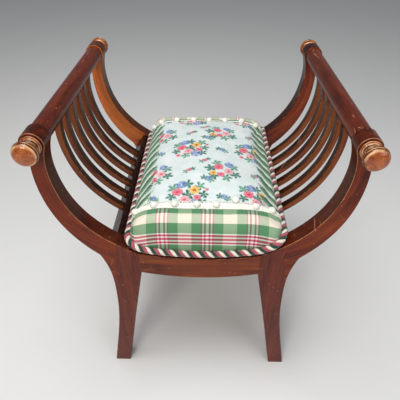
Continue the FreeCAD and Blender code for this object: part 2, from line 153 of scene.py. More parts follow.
def take_up(piece: bpy.types.Object) -> None:
    """Makes one piece the only selected and the active one.

    Args:
        piece: The piece.
    """
    clear_selection()
    piece.select_set(True)
    bpy.context.view_layer.objects.active = piece


def put_in(name: str, data: Any) -> bpy.types.Object:
    """Puts a mesh, curve, camera or lamp into the scene.

    Args:
        name: The new object's name.
        data: What it shows.

    Returns:
        The new object.
    """
    thing = bpy.data.objects.new(name, data)
    bpy.context.scene.collection.objects.link(thing)
    return thing


def copied(source: bpy.types.Object, name: str) -> bpy.types.Object:
    """Copies a piece with its mesh and takes the copy up.

    Args:
        source: What to copy.
        name: The copy's name.

    Returns:
        The copy.
    """
    piece = source.copy()
    piece.data = source.data.copy()
    piece.name = name
    bpy.context.scene.collection.objects.link(piece)
    take_up(piece)
    return piece


def joined(parts: list[bpy.types.Object], name: str) -> bpy.types.Object:
    """Joins loose parts into one smooth piece.

    Args:
        parts: The parts.
        name: The piece's name.

    Returns:
        The piece.
    """
    clear_selection()
    for part in parts:
        part.select_set(True)
    bpy.context.view_layer.objects.active = parts[0]
    bpy.ops.object.join()
    piece = bpy.context.object
    piece.name = name
    bpy.ops.object.shade_smooth()
    return piece


def trim(planes: tuple[tuple[Any, Any, int], ...]) -> None:
    """Cuts the piece in edit mode along planes and drops what lies past them.

    Args:
        planes: For each, a point on it, the way it faces, and the side that stays: 1 for the
            side that it faces, -1 for the other.
    """
    for point, facing, stays in planes:
        bpy.ops.mesh.select_all(action="SELECT")
        bpy.ops.mesh.bisect(plane_co=point, plane_no=facing, clear_outer=stays < 0,
                            clear_inner=stays > 0)


def with_modifier(piece: bpy.types.Object, kind: str, **settings: Any) -> None:
    """Adds a modifier and applies it at once.

    Args:
        piece: The piece.
        kind: Modifier type.
        settings: Modifier attributes.
    """
    take_up(piece)
    modifier = piece.modifiers.new(kind.lower(), kind)
    for key, value in settings.items():
        setattr(modifier, key, value)
    bpy.ops.object.modifier_apply(modifier=modifier.name)


def set_down(piece: bpy.types.Object, material: bpy.types.Material,
             stands_for: tuple[str, ...] = ()) -> bpy.types.Object:
    """Places a finished piece at the origin, dresses it and lets it ride on the bench.

    Args:
        piece: The finished piece.
        material: Its finish.
        stands_for: CAD nodes that it takes the place of.

    Returns:
        The piece.
    """
    take_up(piece)
    bpy.ops.object.transform_apply(location=True, rotation=True, scale=True)
    piece.data.materials.clear()
    piece.data.materials.append(material)
    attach(piece, "root")
    if stands_for:
        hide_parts(*stands_for)
    log.info("%s: %d faces", piece.name, len(piece.data.polygons))
    return piece


# Wood


class Grain(Enum):
    """The way the grain runs in a piece."""

    ACROSS = "x"
    BACK = "y"
    UP = "z"
    ROUND = "arm"

    def stretch(self, share: float) -> tuple[float, ...]:
        """Gives the scale on X, Y and Z that stretches a pattern along the grain."""
        return tuple(share if axis == self.value else 1.0 for axis in "xyz")


@dataclass(frozen=True)
class VarnishedMahogany:
    """Mahogany stained dark red-brown under old varnish: glossy, scratched, pale on its arrises.

    Attributes:
        name: The material's name.
        grain: The way the grain runs.
        dark: Stain in the deep grain.
        middle: Stain over most of the wood.
        warm: Thin, orange-brown places.
        wear_and_highlight: Bare wood on arrises and in scratches; on the arrises it is partly a
            painted highlight.
        arris_wear_and_highlight: How much of the arrises is worn and carries the painted
            highlight, from 0 to 1.
        scratches: How many scratches show, from 0 to 1.
        gloss: Weight of the varnish coat.
        painted_face_shade: How much darker the sawn curved edges and other faces turned from front
            and back are drawn: painted shade.
        centre: Middle of the arm's sweep, across and up, in metres.
    """

    name: str
    grain: Grain
    dark: str = "#3f140a"
    middle: str = "#66220e"
    warm: str = "#873911"
    wear_and_highlight: str = "#c98c62"
    arris_wear_and_highlight: float = 0.5
    scratches: float = 0.4
    gloss: float = 0.2
    painted_face_shade: float = 0.5
    centre: tuple[float, float] = (0.10, 0.60)

    def along_grain(self, bench: NodeBench) -> bpy.types.Node:
        """Gives object coordinates squeezed so that noise streaks along the grain.

        Args:
            bench: The material's nodes.

        Returns:
            A node whose first output is the squeezed vector.
        """
        place = bench.add("TexCoord").outputs["Object"]
        if self.grain is not Grain.ROUND:
            return bench.add("VectorMath:MULTIPLY", place, self.grain.stretch(0.06))
        split = bench.add("SeparateXYZ", place)
        across = bench.add("Math:ABSOLUTE", split.outputs[0])
        out = bench.add("Math:SUBTRACT", across, self.centre[0])
        up = bench.add("Math:SUBTRACT", split.outputs[2], self.centre[1])
        angle = bench.add("Math:ARCTAN2", up, out)
        square = bench.add("Math:MULTIPLY", out, out)
        total = bench.add("Math:MULTIPLY_ADD", up, up, square)
        radius = bench.add("Math:SQRT", total)
        run = bench.add("Math:MULTIPLY", angle, 0.011)
        side = bench.add("Math:SIGN", split.outputs[0])
        spread = bench.add("Math:MULTIPLY_ADD", side, 3.0, run)
        return bench.add("CombineXYZ", radius, split.outputs[1], spread)

    def build(self) -> bpy.types.Material:
        """Makes the material.

        Returns:
            The material.
        """
        material, bench = new_material(self.name)
        place = bench.add("TexCoord").outputs["Object"]
        along = self.along_grain(bench)
        # The figure's streaks are about 14 mm apart, and the stain clouds over about 110 mm.
        # Real pores are about 0.3 mm wide, too fine to show here, so they are drawn at 2 mm.
        figure = bench.add("TexNoise", {"Vector": along, "Scale": 70.0, "Detail": 5.0,
                                        "Roughness": 0.62, "Distortion": 0.35})
        pores = bench.add("TexNoise", {"Vector": along, "Scale": 520.0, "Detail": 2.0,
                                       "Roughness": 0.6})
        cloud = bench.add("TexNoise", {"Vector": place, "Scale": 9.0, "Detail": 4.0,
                                       "Roughness": 0.6})
        streak = bench.add("ValToRGB", figure, stops=[(0.32, self.dark), (0.50, self.middle),
                                                      (0.72, self.warm)])
        cloudy = bench.add("ValToRGB", cloud, stops=[(0.35, 0.0), (0.68, 1.0)])
        half = bench.add("Math:MULTIPLY", cloudy, 0.45)
        stained = bench.add("Mix", {0: half, 6: streak, 7: self.warm}, data_type="RGBA")
        pore = bench.add("ValToRGB", pores, stops=[(0.36, 0.62), (0.47, 1.0)])
        grained = bench.add("Mix", {0: 1.0, 6: stained.outputs[2], 7: pore}, data_type="RGBA",
                            blend_type="MULTIPLY")
        # Painted shade: faces that turn away from front and back are drawn darker.
        facing = bench.add("SeparateXYZ", bench.add("TexCoord").outputs["Normal"]).outputs[1]
        square = bench.add("Math:MULTIPLY", facing, facing)
        shade = bench.add("MapRange", square, 0.25, 0.85, 1.0 - self.painted_face_shade, 1.0)
        painted_shaded = bench.add("VectorMath:MULTIPLY", grained.outputs[2],
                             bench.add("CombineXYZ", shade, shade, shade))
        wear_and_highlight = bench.add("Math:MAXIMUM", self.arris(bench), self.scratch(bench, place))
        # Painted highlight: the pale colour on the arrises is partly wear and partly a painted
        # highlight; in scratches it is wear.
        bared_and_highlit = bench.add("Mix", {0: wear_and_highlight, 6: painted_shaded, 7: self.wear_and_highlight}, data_type="RGBA")
        hazy = bench.add("MapRange", cloud, 0.3, 0.75, 0.26, 0.46)
        rough = bench.add("Math:MULTIPLY_ADD", wear_and_highlight, 0.25, hazy)
        height = bench.add("Math:MULTIPLY_ADD", wear_and_highlight, -0.6, figure)
        relief = bench.add("Bump", {"Strength": 0.10, "Distance": 0.0006, "Height": height})
        shader = bench.add("BsdfPrincipled", {
            "Base Color": bared_and_highlit.outputs[2], "Roughness": rough, "IOR": 1.5,
            "Specular IOR Level": 0.12,
            "Coat Weight": self.gloss, "Coat Roughness": 0.12, "Normal": relief})
        bench.add("OutputMaterial", shader)
        return material

    def arris(self, bench: NodeBench) -> bpy.types.Node:
        """Finds the rounded edges of flat pieces, where the normal turns away from front or back.

        Args:
            bench: The material's nodes.

        Returns:
            A mask of the worn parts of the arrises, which also carry a painted highlight.
        """
        place = bench.add("TexCoord")
        depth = bench.add("SeparateXYZ", place.outputs["Normal"]).outputs[1]
        square = bench.add("Math:MULTIPLY", depth, depth)
        rest = bench.add("Math:SUBTRACT", 1.0, square)
        turn = bench.add("Math:MULTIPLY", square, rest)
        edge = bench.add("MapRange", turn, 0.15, 0.24, 0.0, 1.0)
        # Worn patches, which also carry the painted highlight, are about 24 mm long.
        patch = bench.add("TexNoise", {"Vector": place.outputs["Object"], "Scale": 42.0,
                                       "Detail": 4.0, "Roughness": 0.7})
        rubbed_and_highlit = bench.add("MapRange", patch, 0.64 - 0.3 * self.arris_wear_and_highlight, 0.78 - 0.3 * self.arris_wear_and_highlight,
                           0.0, 0.85)
        return bench.add("Math:MULTIPLY", edge, rubbed_and_highlit)

    def scratch(self, bench: NodeBench, place: bpy.types.NodeSocket) -> bpy.types.Node:
        """Draws a few long thin scratches and pale specks.

        Args:
            bench: The material's nodes.
            place: Object coordinates.

        Returns:
            A mask of the scratches.
        """
        total: Any = 0.0
        # Lines about 30 to 40 mm apart, of which noise lets a few show. Their width is about
        # 0.5 mm, more than the hairlines of the real varnish, which would be too fine to show.
        for turn, size in (((0.5, 0.3, 0.9), 26.0), ((1.4, 0.8, 2.2), 34.0)):
            aimed = bench.add("Mapping", {"Vector": place, "Rotation": turn,
                                          "Scale": (1.0, 0.07, 1.0)})
            lines = bench.add("TexVoronoi", {"Vector": aimed, "Scale": size},
                              feature="DISTANCE_TO_EDGE")
            thin = bench.add("MapRange", lines, 0.0, 0.012, 1.0, 0.0)
            where = bench.add("TexNoise", {"Vector": place, "Scale": size * 0.8, "Detail": 2.0})
            there = bench.add("MapRange", where, 0.70 - 0.16 * self.scratches,
                              0.74 - 0.16 * self.scratches, 0.0, 0.55)
            total = bench.add("Math:MULTIPLY_ADD", thin, there, total)
        # Specks about 2 mm wide, one in about every 10 mm before most are left out.
        specks = bench.add("TexVoronoi", {"Vector": place, "Scale": 95.0})
        dot = bench.add("MapRange", specks, 0.07, 0.13, 0.8, 0.0)
        rare = bench.add("Math:LESS_THAN", bench.add("SeparateColor", specks.outputs[1]),
                         0.12 + 0.2 * self.scratches)
        total = bench.add("Math:MULTIPLY_ADD", dot, rare, total)
        return bench.add("Math:MINIMUM", total, 1.0)


@dataclass(frozen=True)
class PlainTimber:
    """Unvarnished secondary wood, such as beech dowels, glue blocks and plywood: dry and matt.

    Attributes:
        name: The material's name.
        light: Colour of the soft early wood.
        dark: Colour of the hard late wood.
        grain: The way the grain runs.
    """

    name: str
    light: str
    dark: str
    grain: Grain = Grain.ACROSS

    def build(self) -> bpy.types.Material:
        """Makes the material.

        Returns:
            The material.
        """
        material, bench = new_material(self.name)
        place = bench.add("TexCoord").outputs["Object"]
        along = bench.add("VectorMath:MULTIPLY", place, self.grain.stretch(0.08))
        # Growth rings about 6 mm apart.
        figure = bench.add("TexNoise", {"Vector": along, "Scale": 160.0, "Detail": 5.0})
        colour = bench.add("ValToRGB", figure, stops=[(0.35, self.dark), (0.68, self.light)])
        relief = bench.add("Bump", {"Strength": 0.2, "Distance": 0.0004, "Height": figure})
        shader = bench.add("BsdfPrincipled", {"Base Color": colour, "Roughness": 0.72,
                                              "Normal": relief})
        bench.add("OutputMaterial", shader)
        return material


@dataclass(frozen=True)
class ZincPlatedSteel:
    """Plated wood screws: a soft grey metal, slightly mottled."""

    name: str = "zinc_plated_steel"

    def build(self) -> bpy.types.Material:
        """Makes the material.

        Returns:
            The material.
        """
        material, bench = new_material(self.name)
        place = bench.add("TexCoord").outputs["Object"]
        # The plating mottles over a millimetre or two.
        mottle = bench.add("TexNoise", {"Vector": place, "Scale": 600.0, "Detail": 3.0})
        colour = bench.add("ValToRGB", mottle, stops=[(0.3, "#7d7d7b"), (0.7, "#b4b4b0")])
        rough = bench.add("MapRange", mottle, 0.3, 0.7, 0.3, 0.5)
        shader = bench.add("BsdfPrincipled", {"Base Color": colour, "Metallic": 1.0,
                                              "Roughness": rough})
        bench.add("OutputMaterial", shader)
        return material


# Cloth


class Motif(Enum):
    """Things that the chintz is printed with."""

    ROSE = "rose"
    BLOSSOM = "blossom"
    FLORETS = "florets"
    LEAVES = "leaves"


@dataclass(frozen=True)
class Printed:
    """One printed motif in a spray.

    Attributes:
        motif: What it is.
        x: Place across the spray, in millimetres.
        y: Place along the spray.
        size: Radius.
        turn: Turn in degrees.
        light: Colour of its lit parts.
        deep: Colour of its deep parts.
    """

    motif: Motif
    x: float
    y: float
    size: float
    turn: float
    light: str
    deep: str


PINK = ("#ef8fa0", "#c8234b")
BLUSH = ("#f9cfcd", "#d8486c")
AMBER = ("#f6c766", "#b9531f")
BLUE = ("#8da6d8", "#3556a4")
SEA = ("#9cc8b2", "#3b7d65")
TEAL = ("#6ba592", "#265c4e")


def spray(*rows: tuple) -> tuple[Printed, ...]:
    """Turns short rows of motif, x, y, size, turn and colour pair into printed motifs."""
    return tuple(Printed(*row[:5], *row[5]) for row in rows)


LARGE_SPRAY = spray(
    (Motif.LEAVES, -30, 18, 14, 140, SEA), (Motif.LEAVES, -33, -8, 12, 190, TEAL),
    (Motif.LEAVES, 0, 27, 13, 75, TEAL), (Motif.LEAVES, 26, 21, 13, 40, SEA),
    (Motif.LEAVES, 33, -2, 12, 5, TEAL), (Motif.LEAVES, -10, -31, 13, 250, SEA),
    (Motif.LEAVES, 28, -24, 13, 320, TEAL), (Motif.LEAVES, 1, -2, 15, 20, TEAL),
    (Motif.FLORETS, -14, 26, 11, 0, BLUE), (Motif.FLORETS, 13, -27, 13, 0, BLUE),
    (Motif.ROSE, -21, 5, 13, 20, PINK), (Motif.ROSE, -5, -15, 12.5, 80, BLUSH),
    (Motif.BLOSSOM, 14, 11, 12, 10, AMBER), (Motif.ROSE, 20, -9, 9, 130, PINK),
    (Motif.BLOSSOM, -28, -26, 6.5, 30, PINK), (Motif.BLOSSOM, 40, 12, 5, 30, PINK))

SECOND_SPRAY = spray(
    (Motif.LEAVES, -27, 4, 14, 175, TEAL), (Motif.LEAVES, 24, 14, 13, 30, SEA),
    (Motif.LEAVES, -12, 24, 13, 110, SEA), (Motif.LEAVES, 28, -14, 13, 340, TEAL),
    (Motif.LEAVES, -20, -24, 13, 215, TEAL), (Motif.LEAVES, 8, -28, 13, 290, SEA),
    (Motif.ROSE, -9, 9, 13, 50, PINK), (Motif.ROSE, 13, -4, 12, 100, BLUSH),
    (Motif.FLORETS, 15, 22, 10, 0, BLUE), (Motif.ROSE, -4, -18, 9.5, 10, PINK),
    (Motif.BLOSSOM, -20, -14, 9, 60, AMBER))

SMALL_SPRIG = spray(
    (Motif.LEAVES, -7, 3, 9, 160, TEAL), (Motif.LEAVES, 8, -4, 9, 330, SEA),
    (Motif.FLORETS, 2, 2, 7, 0, BLUE))

BUD_SPRIG = spray(
    (Motif.LEAVES, -6, -4, 9, 210, SEA), (Motif.LEAVES, 8, 4, 8, 20, TEAL),
    (Motif.BLOSSOM, 0, 0, 6, 0, PINK))


class PrintBlocks:
    """Node groups that draw one motif each, so that a spray only places them."""

    def __init__(self) -> None:
        """Starts with no blocks cut."""
        self.cut: dict[Motif, bpy.types.NodeTree] = {}

    def block(self, motif: Motif) -> bpy.types.NodeTree:
        """Gives the group of a motif, and makes it the first time.

        Args:
            motif: What it draws.

        Returns:
            The group.
        """
        if motif not in self.cut:
            self.cut[motif] = self.carve(motif)
        return self.cut[motif]

    def carve(self, motif: Motif) -> bpy.types.NodeTree:
        """Makes a motif's group.

        Args:
            motif: What to draw.

        Returns:
            A group with inputs Place, Under, Light, Deep and output Colour.
        """
        tree = bpy.data.node_groups.new("print_" + motif.value, "ShaderNodeTree")
        face = tree.interface
        face.new_socket("Place", in_out="INPUT", socket_type="NodeSocketVector")
        for name in ("Under", "Light", "Deep"):
            face.new_socket(name, in_out="INPUT", socket_type="NodeSocketColor")
        face.new_socket("Colour", in_out="OUTPUT", socket_type="NodeSocketColor")
        bench = NodeBench(tree)
        given = tree.nodes.new("NodeGroupInput")
        given_out = tree.nodes.new("NodeGroupOutput")
        split = bench.add("SeparateXYZ", given.outputs[0])
        reach = bench.add("VectorMath:LENGTH", given.outputs[0]).outputs["Value"]
        angle = bench.add("Math:ARCTAN2", split.outputs[1], split.outputs[0])
        if motif is Motif.LEAVES:
            mask, depth = self.leaves(bench, reach, angle)
        elif motif is Motif.FLORETS:
            mask, depth = self.florets(bench, given.outputs[0], reach)
        else:
            mask, depth = self.flower(bench, motif, reach, angle)
        ink = bench.add("Mix", {0: depth, 6: given.outputs[2], 7: given.outputs[3]},
                        data_type="RGBA")
        over = bench.add("Mix", {0: mask, 6: given.outputs[1], 7: ink.outputs[2]},
                         data_type="RGBA")
        tree.links.new(over.outputs[2], given_out.inputs[0])
        return tree

    def leaves(self, bench: NodeBench, reach: Any, angle: Any) -> tuple[Any, Any]:
        """Draws five pointed leaves round one stem, each half dark.

        Args:
            bench: The group's nodes.
            reach: Distance from the middle, as a share of the size.
            angle: Direction from the middle.

        Returns:
            The leaves' mask and depth of colour.
        """
        half = bench.add("Math:COSINE", bench.add("Math:MULTIPLY", angle, 2.5))
        point = bench.add("Math:POWER", bench.add("Math:ABSOLUTE", half), 0.55)
        notch = bench.add("Math:SINE", bench.add("Math:MULTIPLY", reach, 26.0))
        edge = bench.add("Math:MULTIPLY_ADD", notch, 0.05, point)
        inside = bench.add("Math:SUBTRACT", edge, reach)
        mask = bench.add("MapRange", inside, -0.04, 0.08, 0.0, 1.0)
        side = bench.add("Math:SINE", bench.add("Math:MULTIPLY", angle, 5.0))
        shade = bench.add("MapRange", side, -0.4, 0.4, 0.15, 1.0)
        return mask, shade

    def florets(self, bench: NodeBench, place: Any, reach: Any) -> tuple[Any, Any]:
        """Draws a loose cluster of tiny flowers.

        Args:
            bench: The group's nodes.
            place: Place from the middle, as shares of the size.
            reach: Distance from the middle.

        Returns:
            The cluster's mask and depth of colour.
        """
        cells = bench.add("TexVoronoi", {"Vector": place, "Scale": 2.6, "Randomness": 0.8},
                          voronoi_dimensions="2D")
        petal = bench.add("MapRange", cells, 0.50, 0.58, 1.0, 0.0)
        within = bench.add("MapRange", reach, 0.85, 1.05, 1.0, 0.0)
        mask = bench.add("Math:MULTIPLY", petal, within)
        shade = bench.add("SeparateColor", cells.outputs[1])
        return mask, shade

    def flower(self, bench: NodeBench, motif: Motif, reach: Any,
               angle: Any) -> tuple[Any, Any]:
        """Draws a full rose or an open five-petalled blossom.

        Args:
            bench: The group's nodes.
            motif: Which of the two.
            reach: Distance from the middle, as a share of the size.
            angle: Direction from the middle.

        Returns:
            The flower's mask and depth of colour.
        """
        petals = 5.0 if motif is Motif.BLOSSOM else 7.0
        turned = bench.add("Math:MULTIPLY", angle, petals)
        wave = bench.add("Math:SINE", turned)
        depth = 0.15 if motif is Motif.BLOSSOM else 0.07
        edge = bench.add("Math:MULTIPLY_ADD", wave, depth, 0.86)
        inside = bench.add("Math:SUBTRACT", edge, reach)
        mask = bench.add("MapRange", inside, -0.03, 0.05, 0.0, 1.0)
        if motif is Motif.BLOSSOM:
            heart = bench.add("MapRange", reach, 0.20, 0.42, 1.0, 0.12)
            return mask, heart
        turns = bench.add("Math:MULTIPLY_ADD", reach, 9.5, angle)
        curl = bench.add("Math:SINE", bench.add("Math:MULTIPLY", turns, 2.0))
        folded = bench.add("MapRange", curl, -0.5, 0.9, 0.05, 0.75)
        heart = bench.add("MapRange", reach, 0.12, 0.40, 1.0, 0.0)
        return mask, bench.add("Math:MAXIMUM", folded, heart)


@dataclass(frozen=True)
class FloralChintz:
    """Glazed cotton chintz printed with garden flowers, and with a fluted border at both sides.

    The glaze has worn to a low, soft shine. The ink is a little uneven and the weave hardly shows.

    Attributes:
        name: The material's name.
        repeat: Width and height of the print's repeat, in millimetres.
        border_start: Where the border begins, from the middle, in millimetres.
        rib_pitch: Distance between the border's ribs.
        rib_slant: How far a rib slants back for each millimetre inwards.
    """

    name: str = "floral_chintz"
    repeat: tuple[float, float] = (148.0, 168.0)
    border_start: float = 123.0
    rib_pitch: float = 33.0
    rib_slant: float = 0.75

    def build(self) -> bpy.types.Material:
        """Makes the material.

        Returns:
            The material.
        """
        material, bench = new_material(self.name)
        blocks = PrintBlocks()
        unwrapped = bench.add("UVMap", uv_map="cloth").outputs[0]
        in_mm = bench.add("VectorMath:MULTIPLY", unwrapped, (1000.0, 1000.0, 0.0))
        # The drawing wavers over about 6 mm and its edges are ragged over about 2 mm.
        shake = bench.add("TexNoise", {"Vector": in_mm, "Scale": 0.16, "Detail": 3.0},
                          noise_dimensions="2D")
        drift = bench.add("VectorMath:SUBTRACT", shake.outputs[1], (0.5, 0.5, 0.5))
        bent = bench.add("VectorMath:MULTIPLY_ADD", drift, (5.0, 5.0, 0.0), in_mm)
        ragged = bench.add("TexNoise", {"Vector": in_mm, "Scale": 0.55, "Detail": 2.0},
                           noise_dimensions="2D")
        rag = bench.add("VectorMath:SUBTRACT", ragged.outputs[1], (0.5, 0.5, 0.5))
        place = bench.add("VectorMath:MULTIPLY_ADD", rag, (4.0, 4.0, 0.0), bent)
        # The ground fades unevenly over about 30 mm.
        blot = bench.add("TexNoise", {"Vector": in_mm, "Scale": 0.03, "Detail": 3.0},
                         noise_dimensions="2D")
        ground: Any = bench.add("ValToRGB", blot, stops=[(0.30, "#d6e4e2"), (0.70, "#e6eeec")])
        width, height = self.repeat
        for centre, sprays in (((-38.0, 20.0), LARGE_SPRAY),
                               ((36.0, 20.0 + 0.46 * height), SECOND_SPRAY),
                               ((36.0, 12.0), SMALL_SPRIG),
                               ((-38.0, 10.0 + 0.5 * height), BUD_SPRIG),
                               ((2.0, 64.0), SMALL_SPRIG), ((-4.0, -36.0), BUD_SPRIG)):
            ground = self.stamp(bench, blocks, place, ground, centre, sprays)
        cloth = self.border(bench, in_mm, place, ground)
        # Threads are about 0.3 mm apart, too fine to show, so slubs of about 1 mm stand for them.
        woven = bench.add("TexNoise", {"Vector": in_mm, "Scale": 0.9, "Detail": 2.0},
                          noise_dimensions="2D")
        wash = bench.add("Math:MULTIPLY", woven, ragged)
        slub = bench.add("MapRange", wash, 0.14, 0.36, 0.84, 1.08)
        coloured = bench.add("VectorMath:MULTIPLY", cloth,
                             bench.add("CombineXYZ", slub, slub, slub))
        # Soft creases about 20 mm long.
        creases = bench.add("TexNoise", {"Vector": in_mm, "Scale": 0.05, "Detail": 4.0,
                                         "Distortion": 0.6}, noise_dimensions="2D")
        height_map = bench.add("Math:MULTIPLY_ADD", woven, 0.25, creases)
        relief = bench.add("Bump", {"Strength": 0.35, "Distance": 0.0012, "Height": height_map})
        shader = bench.add("BsdfPrincipled", {
            "Base Color": coloured, "Roughness": 0.62, "Sheen Weight": 0.15,
            "Sheen Roughness": 0.5, "Normal": relief})
        bench.add("OutputMaterial", shader)
        return material

    def stamp(self, bench: NodeBench, blocks: PrintBlocks, place: Any, under: Any,
              centre: tuple[float, float], sprays: tuple[Printed, ...]) -> Any:
        """Prints one spray all over the cloth.

        Args:
            bench: The material's nodes.
            blocks: The motifs' groups.
            place: Place on the cloth in millimetres.
            under: Colour to print on.
            centre: The spray's place in the repeat.
            sprays: Its motifs.

        Returns:
            The printed colour.
        """
        width, height = self.repeat
        moved = bench.add("VectorMath:ADD", place,
                          (width / 2 - centre[0], height / 2 - centre[1], 0.0))
        tiled = bench.add("VectorMath:WRAP", moved, (0.0, 0.0, -1.0), (width, height, 1.0))
        for item in sprays:
            local = bench.add("Mapping", {
                "Vector": tiled, "Location": (width / 2 + item.x, height / 2 + item.y, 0.0),
                "Rotation": (0.0, 0.0, math.radians(item.turn)),
                "Scale": (item.size, item.size, 1.0)}, vector_type="TEXTURE")
            under = bench.add("Group", {"Place": local, "Under": under, "Light": item.light,
                                        "Deep": item.deep}, node_tree=blocks.block(item.motif))
        return under

    def border(self, bench: NodeBench, in_mm: Any, place: Any, inside: Any) -> Any:
        """Draws the fluted border at both sides over the print.

        Args:
            bench: The material's nodes.
            in_mm: Place on the cloth in millimetres.
            place: The same, shaken a little.
            inside: Colour of the print.

        Returns:
            The colour of the whole cloth.
        """
        split = bench.add("SeparateXYZ", place)
        out = bench.add("Math:ABSOLUTE", split.outputs[0])
        past = bench.add("Math:SUBTRACT", out, self.border_start)
        bow = bench.add("Math:MULTIPLY_ADD", past, self.rib_slant, split.outputs[1])
        step = bench.add("Math:MULTIPLY", bow, 1.0 / self.rib_pitch)
        phase = bench.add("Math:FRACT", step)
        lobe = bench.add("ValToRGB", phase, stops=[
            (0.0, "#1f4a37"), (0.09, "#3d6c53"), (0.14, "#b2d2b2"), (0.28, "#eef5e8"),
            (0.50, "#a9c8a8"), (0.56, "#4d7a60"), (0.64, "#9cbfa0"), (0.92, "#2f6049")])
        # The printed hatching is broken up over about 3 mm.
        teeth = bench.add("TexNoise", {"Vector": in_mm, "Scale": 0.36, "Detail": 1.0},
                          noise_dimensions="2D")
        tooth = bench.add("MapRange", teeth, 0.46, 0.54, 0.0, 0.9)
        near = bench.add("MapRange", phase, 0.42, 0.7, 0.0, 1.0)
        inked = bench.add("Math:MULTIPLY", tooth, near)
        fluted = bench.add("Mix", {0: inked, 6: lobe, 7: "#3c6a52"}, data_type="RGBA")
        lean = bench.add("Math:MULTIPLY_ADD", phase, 12.0, past)
        fray = bench.add("MapRange", teeth, 0.35, 0.65, -4.0, 4.0)
        frayed = bench.add("Math:ADD", lean, fray)
        gate = bench.add("MapRange", frayed, 4.0, 8.0, 0.0, 1.0)
        mixed = bench.add("Mix", {0: gate, 6: inside, 7: fluted.outputs[2]}, data_type="RGBA")
        return mixed.outputs[2]


@dataclass(frozen=True)
class WovenPlaid:
    """Yarn-dyed cotton plaid in green, cream, rose and white, woven two up two down.

    It looks matt, with crisp bands that mix where they cross and a fine slanting rib. The weft
    covers about two thirds of the face. The eye averages the threads by its own scale rather
    than by light, so both are drawn as square roots, mixed and squared.

    Attributes:
        name: The material's name.
        start: Where the repeat starts, in millimetres, across and along.
    """

    name: str = "woven_plaid"
    start: tuple[float, float] = (2.1, 0.0)

    def build(self) -> bpy.types.Material:
        """Makes the material.

        Returns:
            The material.
        """
        material, bench = new_material(self.name)
        unwrapped = bench.add("UVMap", uv_map="cloth").outputs[0]
        in_mm = bench.add("VectorMath:MULTIPLY", unwrapped, (1000.0, 1000.0, 0.0))
        split = bench.add("SeparateXYZ", in_mm)
        threads = []
        for index, widths in enumerate((self.warp(), self.weft())):
            repeat = sum(width for width, colour in widths)
            steps = bench.add("Math:MULTIPLY_ADD", split.outputs[index], 1.0 / repeat,
                              -self.start[index] / repeat)
            share = bench.add("Math:FRACT", steps)
            ramp = bench.add("ValToRGB", share, stops=self.bands(widths))
            ramp.color_ramp.interpolation = "CONSTANT"
            threads.append(ramp)
        both = bench.add("Mix", {0: 0.65, 6: threads[0], 7: threads[1]}, data_type="RGBA")
        seen = bench.add("VectorMath:MULTIPLY", both.outputs[2], both.outputs[2])
        # Slubs of about 1.5 mm. The twill's ribs are about 0.5 mm apart on the real cloth, too
        # fine to show, so they are drawn about 0.9 mm apart.
        blot = bench.add("TexNoise", {"Vector": in_mm, "Scale": 0.7, "Detail": 3.0},
                         noise_dimensions="2D")
        slub = bench.add("MapRange", blot, 0.3, 0.7, 0.88, 1.08)
        coloured = bench.add("VectorMath:MULTIPLY", seen,
                             bench.add("CombineXYZ", slub, slub, slub))
        twill = bench.add("Math:ADD", split.outputs[0], split.outputs[1])
        ribs = bench.add("Math:SINE", bench.add("Math:MULTIPLY", twill, 5.0))
        height = bench.add("Math:MULTIPLY_ADD", ribs, 0.2, blot)
        relief = bench.add("Bump", {"Strength": 0.3, "Distance": 0.0008, "Height": height})
        shader = bench.add("BsdfPrincipled", {
            "Base Color": coloured, "Roughness": 0.75, "Sheen Weight": 0.1,
            "Sheen Roughness": 0.5, "Normal": relief})
        bench.add("OutputMaterial", shader)
        return material

    def bands(self, widths: tuple[tuple[float, str], ...]) -> list[tuple[float, tuple]]:
        """Turns band widths and colours into ramp stops over one repeat.

        Args:
            widths: Widths in millimetres with colours.

        Returns:
            Positions with the square roots of linear colours.
        """
        total = sum(width for width, colour in widths)
        stops, place = [], 0.0
        for width, colour in widths:
            red, green, blue, alpha = linear(colour)
            stops.append((place / total, (red ** 0.5, green ** 0.5, blue ** 0.5, alpha)))
            place += width
        return stops

    def warp(self) -> tuple[tuple[float, str], ...]:
        """Lists the bands across the cloth, from the edge of a group of stripes.

        Returns:
            Widths in millimetres with colours.
        """
        rose, white, green = "#a81442", "#f7f2ec", "#4f8a5c"
        return ((2.5, rose), (3.5, white), (3.5, rose), (6.0, white), (3.5, rose),
                (3.5, white), (2.5, rose), (18.6, green), (26.8, "#eee4d0"), (18.4, green))

    def weft(self) -> tuple[tuple[float, str], ...]:
        """Lists the bands down the cloth, from the seam.

        Returns:
            Widths in millimetres with colours.
        """
        rose, white, green = "#c02a4c", "#fbf3ec", "#4f8a5c"
        return ((17.0, green), (21.0, "#eee4d0"), (22.0, green), (3.0, white), (5.0, rose),
                (4.0, white), (6.5, rose), (4.0, white), (5.0, rose), (3.5, white))


